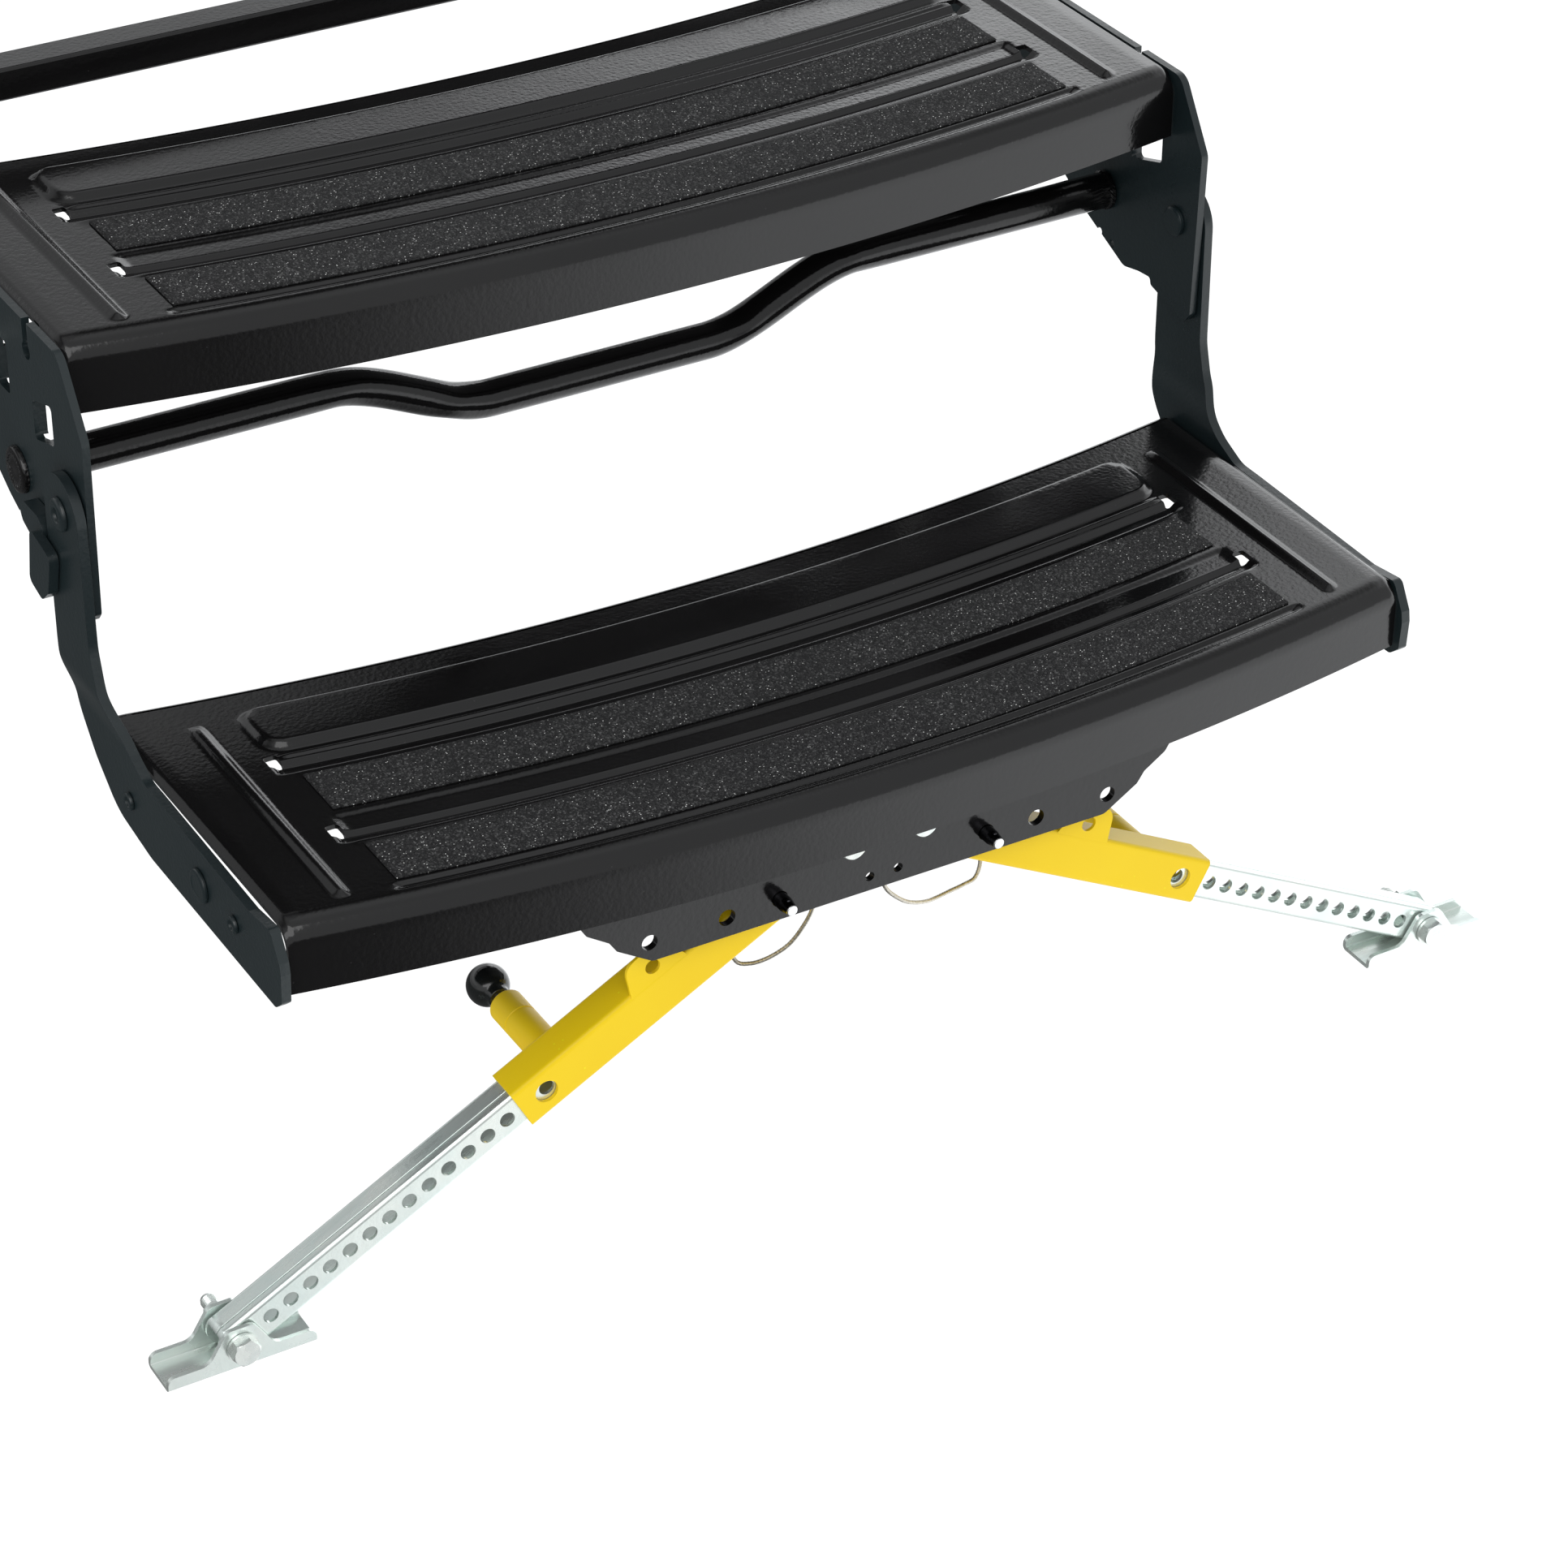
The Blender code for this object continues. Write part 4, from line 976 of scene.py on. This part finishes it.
def arm_pivot(side, mark):
    profile = [(307.6, 6.8), (308.4, 8.0), (310.2, 8.0), (310.2, 5.0), (320.6, 5.0), (320.6, 8.6)]
    profile += [(321.8, 8.5), (322.6, 8.0), (323.2, 6.9), (323.4, 5.6), (323.2, 4.2), (322.6, 3.6)]
    profile += [(321.6, 3.3), (321.4, 2.0), (321.9, 1.9), (321.9, 0.5)]
    piece("arm_pivot_" + mark, PLATE, side_lathe(side, *ARM_PIVOT, profile, 48), bevel=0.15)


def arm_stop(side, mark):
    face = fillet([(240, 92), (246, 61), (231, 57), (222, 65), (216, 87)], [4, 4, 5, 5, 5])
    neck = fillet([(232.6, 83), (243, 80), (259, 86), (262, 92), (256, 98), (238, 98), (232.6, 94)], 5)
    stop = prism(face, "x", *spread(side, 321.0, 326.0))
    neck = prism(neck, "x", *spread(side, 314.8, 322.0))
    piece("arm_stop_" + mark, PLATE, stop, [neck], bevel=1.1)


def cross_rod():
    """The tube runs low in the middle and rises by an eased ramp on each side."""
    ramp_end = ROD_LOW_HALF + ROD_RAMP
    half = [(ROD_LOW_HALF * k / 6, 0.0) for k in range(7)]
    half += [(ROD_LOW_HALF + ROD_RAMP * k / 30, ease(k / 30)) for k in range(1, 31)]
    half += [(ramp_end + (ROD_HALF - ramp_end) * k / 11, 1.0) for k in range(1, 12)]
    half = [(x, ROD_Y, ROD_Z - ROD_DROP * (1 - t)) for x, t in half]
    path = [(-x, y, z) for x, y, z in reversed(half[1:])] + half

    def pinch(index):
        """The tube flattens a little where it is bent down."""
        x = abs(path[index][0])
        inner = 0.08 * math.exp(-((x - 85.0) / 9.0) ** 2)
        return 1.0 - inner - 0.05 * math.exp(-((x - 148.0) / 9.0) ** 2)

    profile = [(302.0, ROD_R), (306.6, ROD_R), (307.4, ROD_R + 0.9), (309.3, ROD_R + 0.9), (310.1, ROD_R)]
    profile += [(310.1, 5.5), (314.8, 5.5), (314.8, 12.0), (316.6, 11.9), (317.5, 11.3), (317.9, 10.0)]
    profile += [(318.0, 8.2), (317.5, 7.8), (317.5, 0.8)]
    ends = [side_lathe(side, ROD_Y, ROD_Z, profile, 48) for side in (-1, 1)]
    piece("cross_rod", BLACK, sweep(path, ROD_R, 36, squeeze=pinch), ends, bevel=0.25, sharp=40)


def lower_arm(side, mark):
    """A flat arm, cut into thin bands where it is then joggled outward over the side plate."""
    outline = fillet(ARM_LINE, ARM_ROUND, 5)
    for k in range(1, 30):
        angle = math.pi * (1 - k / 30)
        outline.append((ARM_PIVOT[0] + ARM_EYE * math.cos(angle), ARM_PIVOT[1] + ARM_EYE * math.sin(angle)))
    low, high = spread(side, PLATE_IN, PLATE_IN + ARM_T)
    cuts = [rod("x", y, z, shank + PLAY, low - 2, high + 2) for y, z, shank, _ in ARM_RIVETS]
    cuts.append(rod("x", *ARM_PIVOT, PIVOT_HOLE, low - 2, high + 2))
    shape = combined(prism(outline, "x", low, high), [together(cuts)], "DIFFERENCE")
    z = JOG_LOW - 1.0
    while z < JOG_HIGH + 1.5:
        every = shape.verts[:] + shape.edges[:] + shape.faces[:]
        bmesh.ops.bisect_plane(shape, geom=every, plane_co=(0, 0, z), plane_no=(0, 0, 1))
        z += 1.7
    for vert in shape.verts:
        vert.co.x += side * ARM_SHIFT * ease((vert.co.z - JOG_LOW) / (JOG_HIGH - JOG_LOW))
    bmesh.ops.recalc_face_normals(shape, faces=shape.faces)
    piece("lower_arm_" + mark, PLATE, shape, bevel=0.7, sharp=40)


def arm_rivet(side, mark, where, y, z, shank, head):
    """A rivet, headed on both sides. Outside, a small one is dished, and the large one is flat in a rim."""
    profile = [(304.4, head * 0.85), (305.2, head * 0.97), (307.2, head), (307.2, shank), (315.8, shank)]
    profile.append((315.8, head))
    if shank < 4:
        profile += [(316.6, head), (317.4, head * 0.94), (317.8, head * 0.78), (317.6, head * 0.62)]
        profile += [(316.6, head * 0.52), (316.2, head * 0.4), (316.2, 0.4)]
    else:
        profile += [(316.9, head), (317.5, head * 0.95), (317.8, head * 0.86), (317.8, head * 0.7)]
        profile += [(317.5, head * 0.66), (317.5, 0.6)]
    piece("arm_rivet_%s_%s" % (where, mark), PLATE, side_lathe(side, y, z, profile, 36), bevel=0.12)


for side, mark in SIDES:
    upper_side(side, mark)
    step_pivot(side, mark, "front", *STEP_F, 5.0)
    step_pivot(side, mark, "rear", *STEP_R, 4.6)
    arm_pivot(side, mark)
    arm_stop(side, mark)
cross_rod()
for side, mark in SIDES:
    lower_arm(side, mark)
    for where, rivet in zip(("front", "middle", "rear"), ARM_RIVETS):
        arm_rivet(side, mark, where, *rivet)

# ---- leg bracket


def hex_head(x, z, low, high, turned):
    """A hexagon with the round chamfer of a turned head at its low end."""
    profile = [(low - 0.01, 0.87 * HEX_R), (low + 0.9, HEX_R * 1.02), (high + 0.01, HEX_R * 1.02)]
    chamfer = lathe("y", x, z, profile, 48)
    return combined(prism(ring(x, z, HEX_R, 6, turned), "y", low, high), [chamfer], "INTERSECT")


def thread(x, z, low, high):
    profile = []
    t = low
    while t + M8_PITCH < high - 0.6:
        profile += [(t, M8 - 0.55), (t + M8_PITCH * 0.45, M8), (t + M8_PITCH * 0.6, M8)]
        t += M8_PITCH
    profile += [(high - 0.5, M8 - 0.6), (high, M8 - 1.1)]
    return lathe("y", x, z, profile, 28)


def leg_bracket():
    outline = [(-166, -6), (-166, -44), (-163, -49), (-151, -57), (-147, -63), (-128, -75), (128, -75)]
    outline += [(147, -63), (151, -57), (163, -49), (166, -44), (166, -6)]
    plate = prism(fillet(outline, [0, 5, 5, 2.5, 2.5, 6, 6, 2.5, 2.5, 5, 5, 0]), "y", *BRACKET_Y)
    parts = [box(-158, -62, -7.6, 28, -7.4, -4.4), box(62, 158, -7.6, 28, -7.4, -4.4)]
    parts += [box(-158, -62, *BRACKET_Y, -8, -4.4), box(62, 158, *BRACKET_Y, -8, -4.4)]
    holes = [(129.4, -64, 4.25), (87.4, -64, 4.5), (PIN_X, PIN_Z, 4.35), (BOLT_X, BOLT_Z, M8_HOLE)]
    holes.append((8, -67, 2.5))
    cuts = [rod("y", side * x, z, radius, -14, -4) for side in (-1, 1) for x, z, radius in holes]
    piece("leg_bracket", BLACK, plate, parts, [together(cuts)], bevel=0.5)


def bracket_hanger():
    plate = box(-29, 29, -6.6, -3.6, -58, -3.4)
    shelf = box(-29, 29, -6.6, 26, -6.4, -3.4)
    nuts = [prism(ring(side * BOLT_X, BOLT_Z, HEX_R, 6), "y", -4, 2.5) for side in (-1, 1)]
    cuts = [rod("y", side * BOLT_X, BOLT_Z, M8_HOLE, -10, 6) for side in (-1, 1)]
    piece("bracket_hanger", BLACK, plate, [shelf, *nuts], [together(cuts)], bevel=0.5)


def bracket_bolt(side, mark):
    head = hex_head(side * BOLT_X, BOLT_Z, -16.6, -11.3, math.pi / 6)
    shank = rod("y", side * BOLT_X, BOLT_Z, M8, -12.0, 6.0)
    piece("bracket_bolt_" + mark, BOLT, head, [shank], bevel=0.2)


leg_bracket()
bracket_hanger()
for side, mark in SIDES:
    bracket_bolt(side, mark)

# ---- legs


def on_leg(side, u, v):
    """x and z of a place on the leg."""
    x = PIN_X + u * math.cos(LEG_TURN) + v * math.sin(LEG_TURN)
    return (side * x, PIN_Z - u * math.sin(LEG_TURN) + v * math.cos(LEG_TURN))


def leg_prism(side, outline, low, high):
    return prism([on_leg(side, u, v) for u, v in outline], "y", low, high)


def leg_tube(side, u0, u1, section):
    loops = []
    for u in (u0, u1):
        spots = [(y, on_leg(side, u, v)) for y, v in section]
        loops.append([(x, y, z) for y, (x, z) in spots])
    return loft(loops)


def leg_outer(side, mark):
    tube = leg_tube(side, OUTER_U0, OUTER_U1, fillet(rect(OUTER_Y0, OUTER_Y1, OUT_V0, OUT_V1), 2.6, 15))
    within = rect(OUTER_Y0 + WALL, OUTER_Y1 - WALL, OUT_V0 + WALL, OUT_V1 - WALL)
    hollow = leg_tube(side, OUTER_U0 - 5, OUTER_U1 + 5, fillet(within, 1.0, 30))
    ear = fillet([(50, 2), (57, 20), (62, 24), (80, 22), (86, 2)], [0, 6, 6, 8, 0])
    ear = leg_prism(side, ear, OUTER_Y0 + 0.15, OUTER_Y0 + WALL - 0.15)
    profile = [(OUTER_Y1 - 0.6, 9.0), (43.6, 9.0), (44.0, 8.6), (44.4, 8.6), (44.8, 9.0), (60.2, 9.0)]
    profile += [(60.8, 8.7), (61.0, 8.2)]
    barrel = lathe("y", *on_leg(side, PLUNGER_U, LEG_V), profile, 48)
    front_wall = (OUTER_Y0 - 3, OUTER_Y0 + WALL + 1)
    cuts = [
        rod("y", *on_leg(side, 0, 0), 4.35, OUTER_Y0 - 3, OUTER_Y1 + 3),
        rod("y", *on_leg(side, 144, LEG_V), 6.0, *front_wall),
        rod("y", *on_leg(side, 68, 12.3), 4.0, *front_wall),
    ]
    bore = [(OUTER_Y1 - WALL - 1, 4.3), (OUTER_Y1 + 1, 4.3), (OUTER_Y1 + 1, 6.3), (57, 6.3), (57, 3.4)]
    bore = lathe("y", *on_leg(side, PLUNGER_U, LEG_V), [*bore, (64, 3.4)], 36)
    piece("leg_outer_" + mark, YELLOW, tube, [ear, barrel], [hollow, together(cuts), bore], sharp=25)


def quick_pin(side, mark):
    profile = [(-23.0, 2.4), (-22.9, 2.7), (-22.5, 2.95), (-16.8, 3.9), (-16.0, 4.0), (21.0, 4.0)]
    profile += [(21.0, 6.1), (21.5, 6.5), (26.0, 6.5), (26.8, 5.6), (27.0, 4.0)]
    x = side * PIN_X
    pull = loop_ring((x, RING_Y, PIN_Z), 9.5, 1.3, (0, 0, 1))
    angles = [math.radians(d) for d in range(-80, 81, 20)]
    bead = lathe("y", x, PIN_Z + 3.2, [(-18.6 + math.sin(a), math.cos(a)) for a in angles], 16)
    piece("quick_pin_" + mark, PIN, lathe("y", x, PIN_Z, profile), [pull, bead], bevel=0.12)


def plunger(side, mark):
    spot = on_leg(side, PLUNGER_U, LEG_V)
    profile = [(15.1, 2.6), (16.2, 3.6), (24.0, 3.6), (24.0, 5.6), (26.0, 5.6), (26.0, 3.0)]
    profile.append((KNOB_Y - 12.0, 3.0))
    piece("plunger_" + mark, SPRING, lathe("y", *spot, profile, 32), bevel=0.15)
    profile = [(KNOB_Y - 13.0, 4.4), (KNOB_Y - 13.0, 5.3), (KNOB_Y - 12.4, 5.7), (KNOB_Y - 10.4, 5.7)]
    for k in range(8, 40):
        angle = math.pi * k / 40
        profile.append((KNOB_Y - KNOB_R * math.cos(angle), KNOB_R * math.sin(angle)))
    profile.append((KNOB_Y + KNOB_R, 0.3))
    piece("plunger_" + mark, KNOB, lathe("y", *spot, profile, 48), bevel=0.0, extra="_knob")


def plunger_spring(side, mark):
    x, z = on_leg(side, PLUNGER_U, LEG_V)
    start, end = SPRING_Y
    steps = SPRING_TURNS * 28
    coil = []
    for k in range(steps + 1):
        angle = 2 * math.pi * k / 28
        y = start + (end - start) * k / steps
        coil.append((x + SPRING_R * math.cos(angle), y, z + SPRING_R * math.sin(angle)))
    piece("plunger_spring_" + mark, SPRING, sweep(coil, 0.7, 10), bevel=0)


def inner_section():
    """A square tube rolled from sheet, with its seam open along the top near the front."""
    seam = IN_Y0 + 4.9
    lip = IN_V1 - INNER_WALL
    section = [(IN_Y0, IN_V0), (IN_Y1, IN_V0), (IN_Y1, IN_V1), (seam + 0.5, IN_V1), (seam + 0.5, lip)]
    section += [(IN_Y1 - INNER_WALL, lip), (IN_Y1 - INNER_WALL, IN_V0 + INNER_WALL)]
    section += [(IN_Y0 + INNER_WALL, IN_V0 + INNER_WALL), (IN_Y0 + INNER_WALL, lip), (seam, lip)]
    section += [(seam, IN_V1), (IN_Y0, IN_V1)]
    return fillet(section, [2.4, 2.4, 2.4, 0.4, 0, 0.8, 0.8, 0.8, 0.8, 0, 0.4, 2.4], 15)


def leg_inner(side, mark):
    tube = leg_tube(side, INNER_U0, FOOT_U + 12, inner_section())
    reach = (IN_V1 - IN_V0) / 2
    nose = [(INNER_U0 - 3, IN_V0 - 2), (FOOT_U, IN_V0 - 2), (FOOT_U, IN_V0)]
    for k in range(1, 24):
        angle = -math.pi / 2 + math.pi * k / 24
        nose.append((FOOT_U + reach * math.cos(angle), LEG_V + reach * math.sin(angle)))
    nose += [(FOOT_U, IN_V1), (FOOT_U, IN_V1 + 2), (INNER_U0 - 3, IN_V1 + 2)]
    nose = leg_prism(side, nose, IN_Y0 - 2, IN_Y1 + 2)
    cuts = []
    for k in range(-4, 13):
        u = HOLE_U0 + k * HOLE_PITCH
        cuts.append(rod("y", *on_leg(side, u, LEG_V), 4.0, IN_Y0 - 3, IN_Y0 + 6, 28))
        cuts.append(rod("y", *on_leg(side, u, LEG_V - 1.6), 5.2, IN_Y1 - 6, IN_Y1 + 3, 28))
    cuts.append(rod("y", *on_leg(side, FOOT_U, LEG_V), M8_HOLE, IN_Y0 - 3, IN_Y1 + 3, 28))
    piece("leg_inner_" + mark, ZINC, tube, cut=[together(cuts)], keep=[nose], bevel=0.2, sharp=40)


def foot(side, mark):
    x, z = on_leg(side, FOOT_U, LEG_V)
    base = z - FOOT_DROP
    near = FOOT_Y0 + FOOT_SHEET
    far = FOOT_Y1 - FOOT_SHEET
    section = [(FOOT_Y0, FOOT_H), (FOOT_Y0, 0), (FOOT_Y1, 0), (FOOT_Y1, FOOT_H), (far, FOOT_H)]
    section += [(far, FOOT_SHEET), (near, FOOT_SHEET), (near, FOOT_H)]
    section = fillet(section, [0, 2.6, 2.6, 0, 0, 0.8, 0.8, 0], 15)
    channel = prism([(y, base + b) for y, b in section], "x", x - FOOT_HALF, x + FOOT_HALF)
    cheek = [(-FOOT_HALF, -1), (FOOT_HALF, -1), (FOOT_HALF, 8), (17, 8), (7, FOOT_H), (-7, FOOT_H)]
    cheek = fillet(cheek + [(-17, 8), (-FOOT_HALF, 8)], [0, 0, 5, 7, 5, 5, 7, 5])
    cheek = prism([(x + a, base + b) for a, b in cheek], "y", FOOT_Y0 - 2, FOOT_Y1 + 2)
    hole = rod("y", x, z, M8_HOLE, FOOT_Y0 - 4, FOOT_Y1 + 4)
    piece("foot_" + mark, ZINC, channel, cut=[hole], keep=[cheek], bevel=0.45, sharp=40)


def foot_bolt(side, mark):
    x, z = on_leg(side, FOOT_U, LEG_V)
    head = hex_head(x, z, FOOT_Y0 - 6.6, FOOT_Y0 - 1.6, 0.2)
    washer = rod("y", x, z, 8.0, FOOT_Y0 - 1.8, FOOT_Y0 - 0.3)
    shank = rod("y", x, z, M8, FOOT_Y0 - 2.0, FOOT_Y1 + 7.0)
    tip = thread(x, z, FOOT_Y1 + 6.0, FOOT_BOLT_END)
    piece("foot_bolt_" + mark, BOLT, head, [washer, shank, tip], bevel=0.15)


def foot_nut(side, mark):
    x, z = on_leg(side, FOOT_U, LEG_V)
    nut = hex_head(x, z, FOOT_Y1 + 0.4, FOOT_Y1 + 6.4, 0.5)
    collar = lathe("y", x, z, [(FOOT_Y1 + 6.2, 6.4), (FOOT_Y1 + 7.4, 6.3), (FOOT_Y1 + 8.0, 5.6)])
    bore = rod("y", x, z, M8_HOLE, FOOT_Y1 - 3, FOOT_Y1 + 12)
    piece("foot_nut_" + mark, BOLT, nut, [collar], [bore], bevel=0.15)


def lanyard(side, mark):
    line = curve_through([(side * x, y, z) for x, y, z in LANYARD[mark]], 14)
    rope = piece("lanyard_" + mark, ROPE, sweep(line, ROPE_R, 24, lobes=6, twist=0.62), bevel=0)


for side, mark in SIDES:
    leg_outer(side, mark)
    quick_pin(side, mark)
    plunger(side, mark)
    plunger_spring(side, mark)
    leg_inner(side, mark)
    foot(side, mark)
    foot_bolt(side, mark)
    foot_nut(side, mark)
    lanyard(side, mark)

# ---- floor, light and world


def add_floor():
    """A plain floor with an even glow of its own, so that it stays pale."""
    mesh = bpy.data.meshes.new("floor")
    corners = rect(-FLOOR_HALF, FLOOR_HALF, -FLOOR_HALF, FLOOR_HALF)
    mesh.from_pydata([(x, y, cad_low.z) for x, y in corners], [], [(0, 1, 2, 3)])
    floor = bpy.data.objects.new("floor", mesh)
    bpy.context.scene.collection.objects.link(floor)
    pale = Paint("floor", (0.12, 0.12, 0.12), 0.0, 0.9)
    color = pale.ramp(pale.noise(0.8), [(0.3, (0.12, 0.12, 0.12)), (0.7, (0.13, 0.13, 0.13))])
    pale.finish(Base_Color=color, Emission_Color=(1.0, 1.0, 1.0), Emission_Strength=1.0)
    floor.data.materials.append(pale.made)
    floor.visible_glossy = False


def add_key_light():
    data = bpy.data.lights.new("key", "AREA")
    data.shape = "RECTANGLE"
    data.size = KEY_SIZE
    data.size_y = KEY_SIZE
    data.energy = KEY_WATTS
    made = bpy.data.objects.new("key", data)
    bpy.context.scene.collection.objects.link(made)
    made.location = KEY_AT
    made.rotation_mode = "QUATERNION"
    made.rotation_quaternion = (Vector(KEY_TO) - Vector(KEY_AT)).to_track_quat("-Z", "Y")


def add_world():
    """A studio by direction. Behind the step: a bright wall low down, brighter to the right, and dark above
    it between two soft panels. In front: even and soft. Below: dim to the left, bright to the right."""
    world = bpy.data.worlds.new("world")
    bpy.context.scene.world = world
    world.use_nodes = True
    sky = Nodes(world.node_tree)
    def fade(value, start, end, low, high):
        return sky.span(value, low, high, start, end, smooth=True)

    east, north, above = sky.parts("XYZ", sky.add("TexCoord").outputs["Generated"])
    bearing = sky.math("DIVIDE", east, sky.math("MAXIMUM", north, 0.05))
    wall = sky.math("MULTIPLY", fade(above, 0.41, 0.455, 1.0, 0.0), fade(bearing, 0.42, 0.66, 0.85, 2.4))
    wall = sky.math("MULTIPLY", wall, fade(above, 0.08, 0.33, 0.42, 1.0))
    panels = sky.math("ADD", fade(bearing, 0.38, 0.5, 0.5, 0.0), fade(bearing, 0.69, 0.77, 0.0, 1.4))
    panels = sky.math("MULTIPLY", panels, fade(above, 0.6, 0.8, 1.0, 0.25))
    zenith = fade(above, 0.78, 0.98, 0.02, 0.5)
    behind = sky.math("ADD", sky.math("MAXIMUM", wall, panels), zenith)
    upper = sky.mix(fade(north, -0.25, 0.1, 0.0, 1.0), 0.7, behind, "FLOAT")
    lower = fade(east, 0.05, 0.52, 0.1, 1.5)
    strength = sky.mix(fade(above, -0.06, 0.06, 0.0, 1.0), lower, upper, "FLOAT")
    sky.set(sky.tree.nodes["Background"], Color=(0.97, 0.985, 1.0), Strength=strength)


add_floor()
add_key_light()
add_world()
bpy.context.scene.view_settings.view_transform = "Standard"
